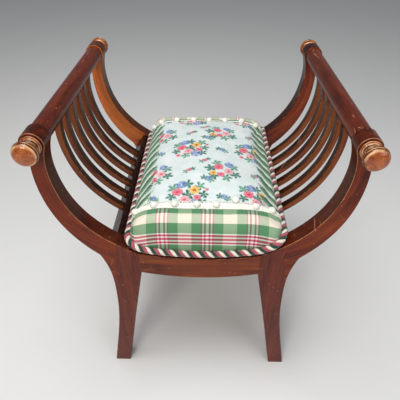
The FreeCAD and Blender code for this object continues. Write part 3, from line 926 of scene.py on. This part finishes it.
@dataclass(frozen=True)
class YarnFinish:
    """Cotton yarn, plied or teased out: matt, with a soft sheen and fine plies or fibres.

    Attributes:
        name: The material's name.
        light: Colour of the plies' crests.
        deep: Colour between the plies, a painted shade; with loose fibres, the colour of the
            darker tufts.
        ply: Distance between plies in metres, or 0 for loose fibres.
    """

    name: str
    light: str
    deep: str
    ply: float = 0.0

    def build(self) -> bpy.types.Material:
        """Makes the material.

        Returns:
            The material.
        """
        material, bench = new_material(self.name)
        if self.ply:
            unwrapped = bench.add("UVMap", uv_map="cloth").outputs[0]
            split = bench.add("SeparateXYZ", unwrapped)
            along = bench.add("Math:MULTIPLY", split.outputs[0], 1.0 / self.ply)
            slant = bench.add("Math:MULTIPLY_ADD", split.outputs[1], 3.0, along)
            turn = bench.add("Math:MULTIPLY", slant, 2 * math.pi)
            height: Any = bench.add("Math:SINE", turn)
            # Painted shade: the yarn is drawn darker between the plies.
            shade = bench.add("MapRange", height, -0.9, 0.3, 0.0, 1.0)
            strength, distance = 0.6, 0.0006
        else:
            place = bench.add("TexCoord").outputs["Object"]
            # Fibres are far finer than a pixel, so tufts of about 1 mm stand for them.
            height = bench.add("TexNoise", {"Vector": place, "Scale": 900.0, "Detail": 4.0,
                                            "Roughness": 0.7})
            shade = bench.add("MapRange", height, 0.35, 0.6, 0.0, 1.0)
            strength, distance = 0.7, 0.0010
        colour = bench.add("Mix", {0: shade, 6: self.deep, 7: self.light}, data_type="RGBA")
        relief = bench.add("Bump", {"Strength": strength, "Distance": distance,
                                    "Height": height})
        shader = bench.add("BsdfPrincipled", {
            "Base Color": colour.outputs[2], "Roughness": 0.8, "Sheen Weight": 0.3,
            "Sheen Roughness": 0.5, "Normal": relief})
        bench.add("OutputMaterial", shader)
        return material


# The bench's own pieces


@dataclass
class WoodenFrame:
    """Legs, arms, rails, rolls, slats and fastenings, which keep their CAD shapes.

    Attributes:
        scratched: How scratched the hand rolls are.
        wear_and_highlight: How worn the arms' arrises are, and how much painted highlight they
            carry.
    """

    scratched: float = 0.9
    wear_and_highlight: float = 0.95

    def finishes(self) -> dict[str, Any]:
        """Gives each kind of piece its finish.

        Returns:
            Finishes by a word in the node's name. The first word that fits counts.
        """
        front_arm = VarnishedMahogany("mahogany_front_arms", Grain.ROUND, arris_wear_and_highlight=self.wear_and_highlight,
                                      scratches=0.6)
        return {
            # Red-brown under a thin shine, with long pale lines on the arrises, partly rubbed wear
            # and partly painted highlight, and painted shade on the faces turned from the front.
            "front_left_arm": front_arm,
            "front_right_arm": front_arm,
            # Painted light: this one is drawn lighter and more orange, as if lit more, while its
            # faces turned from the front get painted shade.
            "back_left_arm": VarnishedMahogany("mahogany_painted_lit_arm", Grain.ROUND,
                                               dark="#8a3c16", middle="#c4602a",
                                               warm="#d67a30", arris_wear_and_highlight=0.4, painted_face_shade=0.84),
            "back_right_arm": VarnishedMahogany("mahogany_back_arm", Grain.ROUND, arris_wear_and_highlight=0.4,
                                                painted_face_shade=0.8),
            # Upright grain and a thicker, browner stain.
            "_leg": VarnishedMahogany("mahogany_legs", Grain.UP, dark="#38130d",
                                      middle="#5e2419", warm="#74321b", arris_wear_and_highlight=0.45),
            # Hands have polished the knobs: the lightest and glossiest wood, with pale rims that
            # are partly wear and partly painted highlight, and painted shade in the grooves.
            "_knob": VarnishedMahogany("mahogany_knobs", Grain.BACK, dark="#7a3214",
                                       middle="#97481d", warm="#c9702f", arris_wear_and_highlight=0.8,
                                       wear_and_highlight="#e2b07c", scratches=0.8, gloss=0.9,
                                       painted_face_shade=0.7),
            # Deep red-brown with many pale nicks.
            "hand_roll": VarnishedMahogany("mahogany_rolls", Grain.BACK, dark="#3a130d",
                                           middle="#5c2217", warm="#7c381b",
                                           scratches=self.scratched, painted_face_shade=0.0),
            # Warm flat faces between sawn edges darkened with painted shade.
            "_slat_": VarnishedMahogany("mahogany_slats", Grain.ROUND, arris_wear_and_highlight=0.45,
                                        middle="#7a3a18", warm="#95501f", scratches=0.35,
                                        painted_face_shade=0.85),
            # Nearly black: painted shade, as the rail lies in shadow under the cushion.
            "side_rail": VarnishedMahogany("mahogany_side_rails_painted_shade", Grain.BACK, dark="#180807",
                                           middle="#260d0a", warm="#35130d", arris_wear_and_highlight=0.3,
                                           painted_face_shade=0.2),
            # Level grain with warm streaks.
            "_rail": VarnishedMahogany("mahogany_rails", Grain.ACROSS, dark="#47190c",
                                       middle="#6e2c14", warm="#8a4418"),
            "corner_block": PlainTimber("pine_blocks", "#a5794c", "#7d5634"),
            "dowels": PlainTimber("beech_dowels", "#d2ac7b", "#b98f60"),
            "seat_board": PlainTimber("birch_plywood", "#c9a574", "#a98253", Grain.BACK),
            "screws": ZincPlatedSteel(),
        }

    def dress(self) -> None:
        """Gives every rigid CAD node its material."""
        finishes = self.finishes()
        made: dict[str, bpy.types.Material] = {}
        for name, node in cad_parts.items():
            finish = next((made_of for word, made_of in finishes.items() if word in name), None)
            if finish is None:
                continue
            if finish.name not in made:
                made[finish.name] = finish.build()
            node.data.materials.clear()
            node.data.materials.append(made[finish.name])
        log.info("wooden frame: %d finishes", len(made))


@dataclass
class Cushion:
    """The domed cushion: a filled body, its chintz cover and its two plaid panels.

    Attributes:
        middle: The cushion's middle, across, in metres.
        voxel: Size of the remeshed faces.
        start_in: How much smaller than the cover the cloth starts.
        pressure: Pressure of the filling.
        most: How far the filling may push the cloth out.
        held_below: Height under which the cloth is held.
        seam: Where the panels' seams lie, front and back.
        crown: Height of the crown.
        cloth: Thickness of the cloth.
        pinch: Depth and width of the groove along a seam.
        gathers: Height and pitch of the gathers at a seam, and how far they reach.
        lumps: Heights of the filling's lumps, each with its number in a metre.
        crest: Height and width of the roll past a seam.
        cord_fade: Height over the cord in which the cloth stops leaning on it.
        cord_reach: Greatest gap to the cord that the cloth closes.
        cord_share: How near the cord's middle the cloth comes, as a share of its radius.
        end_line: Points down the middle of a panel, from the seam: depth and height.
        body: The filled body, once it is made.
    """

    middle: float = 0.011
    voxel: float = 0.005
    start_in: float = 0.0006
    pressure: float = 4.0
    most: float = 0.006
    held_below: float = 0.432
    seam: float = 0.186
    crown: float = 0.498
    cloth: float = 0.0014
    pinch: tuple[float, float] = (0.0020, 0.005)
    gathers: tuple[float, float, float] = (0.0005, 0.019, 0.014)
    lumps: tuple[tuple[float, float], ...] = ((0.0016, 20.0), (0.0007, 50.0))
    crest: tuple[float, float] = (0.0016, 0.012)
    cord_fade: float = 0.026
    cord_reach: float = 0.022
    cord_share: float = 0.88
    end_line: tuple[tuple[float, float], ...] = (
        (0.186, 0.484), (0.207, 0.486), (0.2245, 0.469), (0.2300, 0.440), (0.2275, 0.4035))
    body: bpy.types.Object | None = None

    def block(self) -> bpy.types.Object:
        """Copies the filling's solid and remeshes it.

        Returns:
            The copy.
        """
        body = put_in("cushion_body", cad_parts["seat_foam"].data.copy())
        take_up(body)
        bpy.ops.object.mode_set(mode="EDIT")
        bpy.ops.mesh.select_all(action="SELECT")
        bpy.ops.mesh.remove_doubles(threshold=0.00001)
        bpy.ops.mesh.normals_make_consistent(inside=False)
        bpy.ops.object.mode_set(mode="OBJECT")
        with_modifier(body, "REMESH", mode="VOXEL", voxel_size=self.voxel,
                      use_smooth_shade=True)
        with_modifier(body, "SMOOTH", factor=0.5, iterations=6)
        with_modifier(body, "DISPLACE", strength=self.cloth - self.start_in,
                      mid_level=0.0)
        return body

    def held(self, body: bpy.types.Object) -> None:
        """Weights the lower part and the seams, where the cloth is held.

        Args:
            body: The whole body.
        """
        group = body.vertex_groups.new(name="held")
        for vertex in body.data.vertices:
            low = 1.0 - min(1.0, max(0.0, (vertex.co.z - self.held_below) / 0.02))
            near = max(0.0, 1.0 - abs(abs(vertex.co.y) - self.seam) / 0.004)
            weight = max(low, 0.75 * near)
            if weight > 0:
                group.add([vertex.index], weight, "REPLACE")

    def fill(self, body: bpy.types.Object) -> None:
        """Blows the cloth up from inside, and caps how far it goes.

        Args:
            body: The whole body.
        """
        start = [vertex.co.copy() for vertex in body.data.vertices]
        self.held(body)
        take_up(body)
        cloth = body.modifiers.new("cloth", "CLOTH")
        cloth.settings.use_pressure = True
        cloth.settings.uniform_pressure_force = self.pressure
        cloth.settings.effector_weights.gravity = 0.0
        cloth.settings.vertex_group_mass = "held"
        cloth.settings.tension_stiffness = 12.0
        cloth.settings.compression_stiffness = 12.0
        cloth.point_cache.frame_end = 20
        for step in range(1, 21):
            bpy.context.scene.frame_set(step)
        bpy.ops.object.modifier_apply(modifier="cloth")
        for vertex, was in zip(body.data.vertices, start):
            move = vertex.co - was
            if move.length > self.most:
                vertex.co = was + move.normalized() * self.most
        bpy.context.scene.frame_set(1)

    def pucker(self, body: bpy.types.Object) -> None:
        """Draws the cloth in along the seams, with small gathers, and dimples it all over.

        Args:
            body: The whole body.
        """
        height, pitch, reach = self.gathers
        for vertex in body.data.vertices:
            place = vertex.co
            normal = vertex.normal.copy()
            away = abs(abs(place.y) - self.seam)
            groove = math.exp(-(away / self.pinch[1]) ** 2)
            gather = math.sin(place.x * 2 * math.pi / pitch + 3 * noise.noise(place * 40))
            spread = math.exp(-away / reach)
            lumps = sum(noise.noise(place * often) * high for high, often in self.lumps)
            top = min(1.0, max(0.0, (place.z - 0.44) / 0.02))
            beyond = min(1.0, max(0.0, (abs(place.y) - self.seam - 0.004) / 0.012))
            roll = math.exp(-((place.z - 0.484) / self.crest[1]) ** 2) * beyond
            move = (-self.pinch[0] * groove + height * gather * spread + lumps
                    + self.crest[0] * roll)
            vertex.co = place + normal * (move * top)

    def meet_cord(self, body: bpy.types.Object) -> None:
        """Brings the cloth up against the cord all round the base.

        Args:
            body: The whole body.
        """
        cord = TwistedCord()
        line = cord.spaced(cord.loop(), 500)
        tree = kdtree.KDTree(len(line))
        for index, point in enumerate(line):
            tree.insert(point, index)
        tree.balance()
        for vertex in body.data.vertices:
            near, _, _ = tree.find(vertex.co)
            above = (vertex.co.z - near.z) / self.cord_fade
            if above > 1.0:
                continue
            gap = Vector((near.x - vertex.co.x, near.y - vertex.co.y, 0.0))
            if gap.length < 0.0005 or gap.length > self.cord_reach:
                continue
            share = 1.0 - max(0.0, above) ** 2
            rest = gap.length - self.cord_share * cord.radius
            vertex.co += gap.normalized() * (max(-0.004, min(0.012, rest)) * share)

    def make(self) -> None:
        """Makes the body and cuts it into cover and panels."""
        body = self.block()
        self.fill(body)
        self.pucker(body)
        self.meet_cord(body)
        with_modifier(body, "SMOOTH", factor=0.5, iterations=2)
        with_modifier(body, "SUBSURF", levels=1, render_levels=1)
        self.body = body
        finishes = {
            "floral_cover": (FloralChintz().build(), "floral_cotton", ("top_cover", "seat_foam")),
            "front_plaid": (WovenPlaid("front_plaid_weave").build(), "plaid_cotton",
                            ("front_panel",)),
            "back_plaid": (WovenPlaid("back_plaid_weave", start=(2.1, -10.0)).build(),
                           "plaid_cotton", ("back_panel",)),
        }
        for name, (material, slot, nodes) in finishes.items():
            piece = self.cut(body, name)
            self.unwrap(piece, name)
            with_modifier(piece, "SOLIDIFY", thickness=self.cloth, offset=-1.0)
            take_up(piece)
            bpy.ops.object.shade_smooth()
            set_down(piece, material, nodes)

    def cut(self, body: bpy.types.Object, name: str) -> bpy.types.Object:
        """Cuts one part out of the body at the seams.

        Args:
            body: The whole body.
            name: Which part.

        Returns:
            The part, open at its seams.
        """
        piece = copied(body, name)
        sides = {"floral_cover": ((-self.seam, 1), (self.seam, -1)),
                 "front_plaid": ((-self.seam, -1),), "back_plaid": ((self.seam, 1),)}[name]
        bpy.ops.object.mode_set(mode="EDIT")
        trim(tuple(((0, y, 0), (0, 1, 0), stays) for y, stays in sides))
        bpy.ops.object.mode_set(mode="OBJECT")
        return piece

    def way_down(self, place: Vector) -> float:
        """Measures how far a place lies below the seam, along the middle of its panel.

        Args:
            place: A place on a panel.

        Returns:
            The distance along the cloth in metres.
        """
        aside = min(1.0, max(0.0, (abs(place.x - self.middle) - 0.080) / 0.060))
        spot = Vector((abs(place.y), place.z + 0.010 * aside * aside))
        best, result, walked = 1.0, 0.0, 0.0
        for first, second in zip(self.end_line, self.end_line[1:]):
            start, stretch = Vector(first), Vector(second) - Vector(first)
            share = (spot - start).dot(stretch) / stretch.length_squared
            share = min(1.0, max(0.0, share))
            away = (start + stretch * share - spot).length
            if away < best:
                best, result = away, walked + share * stretch.length
            walked += stretch.length
        return result

    def unwrap(self, piece: bpy.types.Object, name: str) -> None:
        """Lays the cloth out flat: across by the way over the crown, along by the way down.

        Args:
            piece: The part.
            name: Which part.
        """
        layer = piece.data.uv_layers.new(name="cloth")
        for loop in piece.data.loops:
            place = piece.data.vertices[loop.vertex_index].co
            off = place.x - self.middle
            drop = self.crown - place.z
            side = 1.0 if off > 0 else -1.0
            if name == "floral_cover":
                layer.data[loop.index].uv = (side * (abs(off) + max(0.0, 0.8 * drop - 0.01)),
                                             place.y)
            else:
                layer.data[loop.index].uv = (place.x, self.way_down(place))


@dataclass
class TwistedCord:
    """The three-strand cord round the cushion's base, in the place of its plain ring.

    Attributes:
        shift: The cushion's middle, across.
        half_width: Half its width, across.
        half_depth: Half its depth.
        front_height: Height of its middle line at the front.
        front_radius: Radius of its long sag.
        rise_radius: Radius where it begins to rise.
        corner_radius: Radius of its corners.
        lean: How its corners lean, in degrees, left and right.
        radius: Radius of the whole cord.
        lay: Length of one turn.
        ply: Distance between the plies of a strand.
        steps: Rings of faces for each turn.
        sides: Sides of a strand.
        strand_off: How far a strand's middle lies out, as a share of the cord's radius.
        strand_thick: A strand's radius, as a share of the cord's.
    """

    shift: float = 0.011
    half_width: float = 0.1585
    half_depth: float = 0.2345
    front_height: float = 0.4035
    front_radius: float = 0.620
    rise_radius: float = 0.100
    corner_radius: float = 0.028
    lean: tuple[float, float] = (23.0, 35.0)
    radius: float = 0.0068
    lay: float = 0.0245
    ply: float = 0.0022
    steps: int = 14
    sides: int = 10
    strand_off: float = 0.52
    strand_thick: float = 0.50

    def half_front(self, side: int) -> list[Vector]:
        """Follows the middle line from the middle of the front to the middle of one side.

        Args:
            side: -1 for left, 1 for right.

        Returns:
            Points of the middle line.
        """
        lean = math.radians(self.lean[0 if side < 0 else 1])
        reach = self.half_width + side * self.shift
        rest = (reach - self.corner_radius * math.cos(lean)
                - self.rise_radius * math.sin(lean))
        turn = math.asin(rest / (self.front_radius - self.rise_radius))
        points = []
        for step in range(25):
            angle = turn * step / 24
            points.append(Vector((side * self.front_radius * math.sin(angle), -self.half_depth,
                                  self.front_height
                                  + self.front_radius * (1 - math.cos(angle)))))
        base = points[-1].copy()
        for step in range(1, 11):
            angle = turn + (lean - turn) * step / 10
            points.append(base + Vector((
                side * self.rise_radius * (math.sin(angle) - math.sin(turn)), 0,
                self.rise_radius * (math.cos(turn) - math.cos(angle)))))
        start = points[-1].copy()
        across = Vector((side * math.cos(lean), 0, math.sin(lean)))
        centre = start + Vector((0, self.corner_radius, 0))
        for step in range(1, 15):
            angle = math.pi / 2 * step / 14
            points.append(centre + across * (self.corner_radius * math.sin(angle))
                          - Vector((0, self.corner_radius * math.cos(angle), 0)))
        last = points[-1].copy()
        for step in range(1, 21):
            points.append(Vector((last.x, last.y * (1 - step / 20), last.z)))
        return points

    def loop(self) -> list[Vector]:
        """Gives the whole middle line, round from the middle of the front.

        Returns:
            Its points, none of them twice.
        """
        right = self.half_front(1)
        left = self.half_front(-1)
        back_right = [Vector((p.x, -p.y, p.z)) for p in right[::-1]]
        back_left = [Vector((p.x, -p.y, p.z)) for p in left]
        return right + back_right[1:] + back_left[1:] + left[::-1][1:-1]

    def spaced(self, line: list[Vector], count: int) -> list[Vector]:
        """Spreads points evenly along the closed line.

        Args:
            line: The middle line.
            count: How many points.

        Returns:
            The points.
        """
        closed = line + [line[0]]
        lengths = [0.0]
        for a, b in zip(closed, closed[1:]):
            lengths.append(lengths[-1] + (b - a).length)
        total, spot, points = lengths[-1], 0, []
        for index in range(count):
            goal = total * index / count
            while lengths[spot + 1] < goal:
                spot += 1
            span = lengths[spot + 1] - lengths[spot]
            share = (goal - lengths[spot]) / span if span else 0.0
            points.append(closed[spot].lerp(closed[spot + 1], share))
        return points

    def strand(self, name: str, start: float) -> bpy.types.Object:
        """Sweeps one strand round the middle line.

        Args:
            name: The strand's name.
            start: Its turn at the middle of the front.

        Returns:
            The strand.
        """
        line = self.loop()
        total = sum((b - a).length for a, b in zip(line, line[1:] + line[:1]))
        turns = round(total / self.lay)
        steps, sides = turns * self.steps, self.sides
        middle = self.spaced(line, steps)
        off, thick = self.radius * self.strand_off, self.radius * self.strand_thick
        paths = []
        for index, point in enumerate(middle):
            ahead = (middle[(index + 1) % steps] - middle[index - 1]).normalized()
            out = Vector((point.x - self.shift, point.y, 0)).normalized()
            level = (out - ahead * out.dot(ahead)).normalized()
            above = ahead.cross(level)
            angle = start + 2 * math.pi * turns * index / steps
            paths.append(point + (level * math.cos(angle) + above * math.sin(angle)) * off)
        mesh = bpy.data.meshes.new(name)
        built = bmesh.new()
        rings = []
        for index, point in enumerate(paths):
            ahead = (paths[(index + 1) % steps] - paths[index - 1]).normalized()
            aside = (point - middle[index]).normalized()
            aside = (aside - ahead * aside.dot(ahead)).normalized()
            other = ahead.cross(aside)
            rings.append([built.verts.new(point + (aside * math.cos(turn)
                                                   + other * math.sin(turn) * 1.12) * thick)
                          for turn in (2 * math.pi * k / sides for k in range(sides))])
        layer = built.loops.layers.uv.new("cloth")
        pace = total * 1.38 / steps
        for index in range(steps):
            ahead_ring = rings[(index + 1) % steps]
            for k in range(sides):
                face = built.faces.new((rings[index][k], rings[index][(k + 1) % sides],
                                        ahead_ring[(k + 1) % sides], ahead_ring[k]))
                face.smooth = True
                for loop, (along, around) in zip(face.loops, ((0, 0), (0, 1), (1, 1), (1, 0))):
                    loop[layer].uv = ((index + along) * pace, (k + around) / sides)
        built.normal_update()
        built.to_mesh(mesh)
        built.free()
        piece = put_in(name, mesh)
        take_up(piece)
        bpy.ops.object.mode_set(mode="EDIT")
        bpy.ops.mesh.select_all(action="SELECT")
        bpy.ops.mesh.normals_make_consistent(inside=False)
        bpy.ops.object.mode_set(mode="OBJECT")
        return piece

    def make(self) -> None:
        """Makes the three strands."""
        strands = (("cream", "#fbf6e9", "#c9bda5"), ("rose", "#c4616f", "#86303f"),
                   ("green", "#1d4632", "#0a2117"))
        for index, (colour, light, deep) in enumerate(strands):
            piece = self.strand("cord_strand_" + colour, 2 * math.pi * index / 3)
            finish = YarnFinish(colour + "_yarn", light, deep, self.ply)
            set_down(piece, finish.build(), ("twisted_cord",))


@dataclass
class BallFringe:
    """Lace tape and balls along a seam, laid over the chintz.

    Attributes:
        cushion: The cushion that it is sewn to.
        widths: Width of the tape, front and back.
        lift: Thickness of the tape.
        ball: Radius of a ball.
        pitch: Distance between balls.
        middle: Middle of the rows, across.
        rise: Height of a ball's middle over the cloth.
        wander: How far each ball strays along its row, in millimetres, front and back.
        stray: Which front ball stands back on the chintz, and how far.
        picot_pitch: Distance between the small loops on the tape's edge.
        half_row: Half the length of the row of loops.
        bottom: Height down to which the tape comes at its ends.
    """

    cushion: Cushion
    widths: tuple[float, float] = (0.013, 0.006)
    lift: float = 0.0018
    ball: float = 0.0080
    pitch: float = 0.0394
    middle: float = 0.006
    rise: float = 0.0042
    wander: tuple[tuple[float, ...], ...] = ((0, 0, 2, 7, 6, 6, 6, 0),
                                             (-1, -20, -17, -11, -9, -6, 0, 0))
    stray: tuple[int, float] = (5, 0.013)
    picot_pitch: float = 0.0062
    half_row: float = 0.134
    bottom: float = 0.448

    def tape(self, word: str, depth: int, width: float) -> bpy.types.Object:
        """Cuts the tape from the cushion's skin and thickens it.

        Args:
            word: "front" or "back".
            depth: -1 for the front, 1 for the back.
            width: The tape's width.

        Returns:
            The tape.
        """
        piece = copied(self.cushion.body, word + "_tape")
        near = depth * (self.cushion.seam + 0.001)
        far = depth * (self.cushion.seam + 0.001 - width)
        bpy.ops.object.mode_set(mode="EDIT")
        trim((((0, max(near, far), 0), (0, 1, 0), -1), ((0, min(near, far), 0), (0, 1, 0), 1),
              ((0, 0, self.bottom), (0, 0, 1), 1)))
        bpy.ops.mesh.select_all(action="SELECT")
        bpy.ops.mesh.subdivide(number_cuts=2)
        bpy.ops.object.mode_set(mode="OBJECT")
        for vertex in piece.data.vertices:
            place = vertex.co
            ripple = math.sin(place.x * 2 * math.pi / self.picot_pitch)
            weave = math.sin(place.y * 2 * math.pi / 0.0036)
            vertex.co = place + vertex.normal * (0.0004 * ripple * weave + 0.0003)
        with_modifier(piece, "SOLIDIFY", thickness=self.lift, offset=1.0)
        take_up(piece)
        bpy.ops.object.shade_smooth()
        return piece

    def skin(self, x: float, y: float) -> tuple[Vector, Vector]:
        """Finds the cushion's skin under a place in plan.

        Args:
            x: Place across.
            y: Place along.

        Returns:
            The place on the skin and its normal.
        """
        hit, place, normal, _ = self.cushion.body.ray_cast(Vector((x, y, 1.0)),
                                                           Vector((0, 0, -1)))
        if not hit:
            return Vector((x, y, self.cushion.crown)), Vector((0, 0, 1))
        return place, normal

    def picots(self, word: str, depth: int, width: float) -> bpy.types.Object:
        """Makes the small thread loops along the tape's inner edge.

        Args:
            word: "front" or "back".
            depth: -1 for the front, 1 for the back.
            width: The tape's width.

        Returns:
            The loops as one piece.
        """
        made = []
        y = depth * (self.cushion.seam - width - 0.0006)
        for index in range(int(2 * self.half_row / self.picot_pitch)):
            x = self.cushion.middle - self.half_row + (index + 0.5) * self.picot_pitch
            place, normal = self.skin(x, y)
            clear_selection()
            size = 0.0027 + 0.0006 * noise.noise(Vector((index * 1.7, depth, 0.0)))
            bpy.ops.mesh.primitive_torus_add(
                major_segments=12, minor_segments=6, major_radius=size, minor_radius=0.0009,
                location=place + normal * 0.0014,
                rotation=normal.to_track_quat("Z", "Y").to_euler())
            made.append(bpy.context.object)
        return joined(made, word + "_picots")

    def seam_shadow_line(self) -> bpy.types.Object:
        """Lays a thin dark green line in the back seam, where it shows between the balls: painted
        shade of the seam's crease.

        Returns:
            The line.
        """
        data = bpy.data.curves.new("back_seam_shadow", "CURVE")
        data.dimensions = "3D"
        data.bevel_depth = 0.0015
        data.bevel_resolution = 3
        data.use_fill_caps = True
        line = data.splines.new("NURBS")
        line.points.add(30)
        for index, point in enumerate(line.points):
            x = self.middle - 0.118 + 0.246 * index / 30
            place, normal = self.skin(x, self.cushion.seam + 0.0022)
            point.co = (*(place + normal * 0.0008), 1.0)
        line.order_u = 3
        line.use_endpoint_u = True
        take_up(put_in("back_seam_shadow", data))
        bpy.ops.object.convert(target="MESH")
        return bpy.context.object

    def balls(self, word: str, depth: int) -> bpy.types.Object:
        """Makes a row of teased-out yarn balls, pressed flat below.

        Args:
            word: "front" or "back".
            depth: -1 for the front, 1 for the back.

        Returns:
            The row.
        """
        made = []
        wander = self.wander[0 if depth < 0 else 1]
        for index, off in enumerate(wander):
            x = self.middle + (index - (len(wander) - 1) / 2) * self.pitch + off * MM
            y = depth * (self.cushion.seam - 0.0065)
            if depth < 0 and index == self.stray[0]:
                y += self.stray[1]
            place, normal = self.skin(x, y)
            centre = place + Vector((0, 0, self.rise))
            clear_selection()
            bpy.ops.mesh.primitive_ico_sphere_add(subdivisions=4, radius=self.ball,
                                                  location=centre)
            ball = bpy.context.object
            for vertex in ball.data.vertices:
                along = vertex.co.normalized()
                seed = Vector((index * 3.1, depth, 0.5))
                tuft = noise.noise(along * 2.2 + seed) * 0.07
                tuft += abs(noise.noise(along * 9.0 + seed)) * 0.22 - 0.05
                vertex.co = along * self.ball * (0.95 + tuft)
                vertex.co.z *= 0.9
            made.append(ball)
        return joined(made, word + "_balls")

    def make(self) -> None:
        """Makes both rows."""
        tape_finish = YarnFinish("cotton_lace_tape", "#fdfbf2", "#dde0d2").build()
        ball_finish = YarnFinish("cotton_ball_yarn", "#fffef6", "#e6e6d8").build()
        for word, depth, width in (("front", -1, self.widths[0]), ("back", 1, self.widths[1])):
            stands_for = (word + "_braid",)
            set_down(self.tape(word, depth, width), tape_finish, stands_for)
            set_down(self.picots(word, depth, width), tape_finish, stands_for)
            set_down(self.balls(word, depth), ball_finish, (word + "_pompoms",))
        # The dark green line stands in for painted shade in the back seam's crease.
        seam_shadow_finish = YarnFinish("dark_green_seam_shadow", "#24402c", "#10231a").build()
        set_down(self.seam_shadow_line(), seam_shadow_finish, ("back_braid",))


@dataclass
class Studio:
    """Pale floor, soft light and the camera at the photograph's angle.

    Attributes:
        place: The camera's place in metres.
        pitch: How far it looks down, in radians.
        yaw: How far it is turned.
        roll: How far it is tilted.
        focal: Focal length in pixels of the photograph.
        centre: The optical axis in pixels of the photograph.
        aim: What the lamps point at.
    """

    place: tuple[float, float, float] = (0.00982, -0.7790, 0.9835)
    pitch: float = 0.6777
    yaw: float = 0.0161
    roll: float = 0.0054
    focal: float = 389.83
    centre: tuple[float, float] = (200.35, 199.79)
    aim: tuple[float, float, float] = (0.0, 0.0, 0.4)

    def camera(self) -> None:
        """Adds the camera."""
        data = bpy.data.cameras.new("photo_camera")
        data.sensor_fit = "HORIZONTAL"
        data.sensor_width = 36.0
        data.lens = self.focal / PHOTO_PIXELS * 36.0
        data.shift_x = -(self.centre[0] - PHOTO_PIXELS / 2) / PHOTO_PIXELS
        data.shift_y = (self.centre[1] - PHOTO_PIXELS / 2) / PHOTO_PIXELS
        data.clip_end = 50.0
        camera = put_in("photo_camera", data)
        turn = Matrix.Rotation(self.yaw, 3, "Z")
        ahead = turn @ Vector((0, math.cos(self.pitch), -math.sin(self.pitch)))
        above = turn @ Vector((0, math.sin(self.pitch), math.cos(self.pitch)))
        right = turn @ Vector((1, 0, 0))
        tilted_right = right * math.cos(self.roll) + above * math.sin(self.roll)
        tilted_above = above * math.cos(self.roll) - right * math.sin(self.roll)
        facing = Matrix((tilted_right, tilted_above, -ahead)).transposed()
        camera.matrix_world = Matrix.Translation(self.place) @ facing.to_4x4()
        bpy.context.scene.camera = camera

    def lamp(self, name: str, place: tuple[float, float, float], size: float, power: float,
             colour: str) -> None:
        """Adds a soft square lamp that points at the seat.

        Args:
            name: The lamp's name.
            place: Where it hangs.
            size: Its width.
            power: Its power in watts.
            colour: Its colour.
        """
        data = bpy.data.lights.new(name, "AREA")
        data.shape = "SQUARE"
        data.size = size
        data.energy = power
        data.color = linear(colour)[:3]
        lamp = put_in(name, data)
        away = Vector(place) - Vector(self.aim)
        lamp.matrix_world = (Matrix.Translation(place)
                             @ away.to_track_quat("Z", "Y").to_matrix().to_4x4())

    def light(self) -> None:
        """Adds the lamps and the room's own light."""
        self.lamp("key", (-0.9, -2.7, 1.9), 1.1, 34.0, "#fffaf2")
        self.lamp("fill", (1.8, -2.0, 1.3), 1.3, 12.0, "#f8f6ff")
        self.lamp("top", (-0.3, -0.3, 2.7), 1.3, 42.0, "#ffffff")
        world = bpy.data.worlds.new("room")
        world.use_nodes = True
        backdrop = world.node_tree.nodes["Background"]
        backdrop.inputs[0].default_value = linear("#e8ebf0")
        backdrop.inputs[1].default_value = 0.26
        bpy.context.scene.world = world
        bpy.context.scene.view_settings.view_transform = "Standard"

    def floor(self) -> None:
        """Adds the pale floor."""
        clear_selection()
        bpy.ops.mesh.primitive_plane_add(size=12.0, location=(0, 2.0, 0))
        floor = bpy.context.object
        floor.name = "floor"
        material, bench = new_material("pale_floor")
        shader = bench.add("BsdfPrincipled", {"Base Color": "#ececea", "Roughness": 0.9})
        bench.add("OutputMaterial", shader)
        floor.data.materials.append(material)

    def make(self) -> None:
        """Sets the whole studio up."""
        self.camera()
        self.light()
        self.floor()


def main() -> None:
    """Builds the studio and every piece in order."""
    logging.basicConfig(level=logging.INFO, format="%(name)s: %(message)s")
    Studio().make()
    WoodenFrame().dress()
    cushion = Cushion()
    cushion.make()
    TwistedCord().make()
    BallFringe(cushion).make()
    bpy.data.objects.remove(cushion.body)
    clear_selection()


if __name__ == "__main__":
    main()
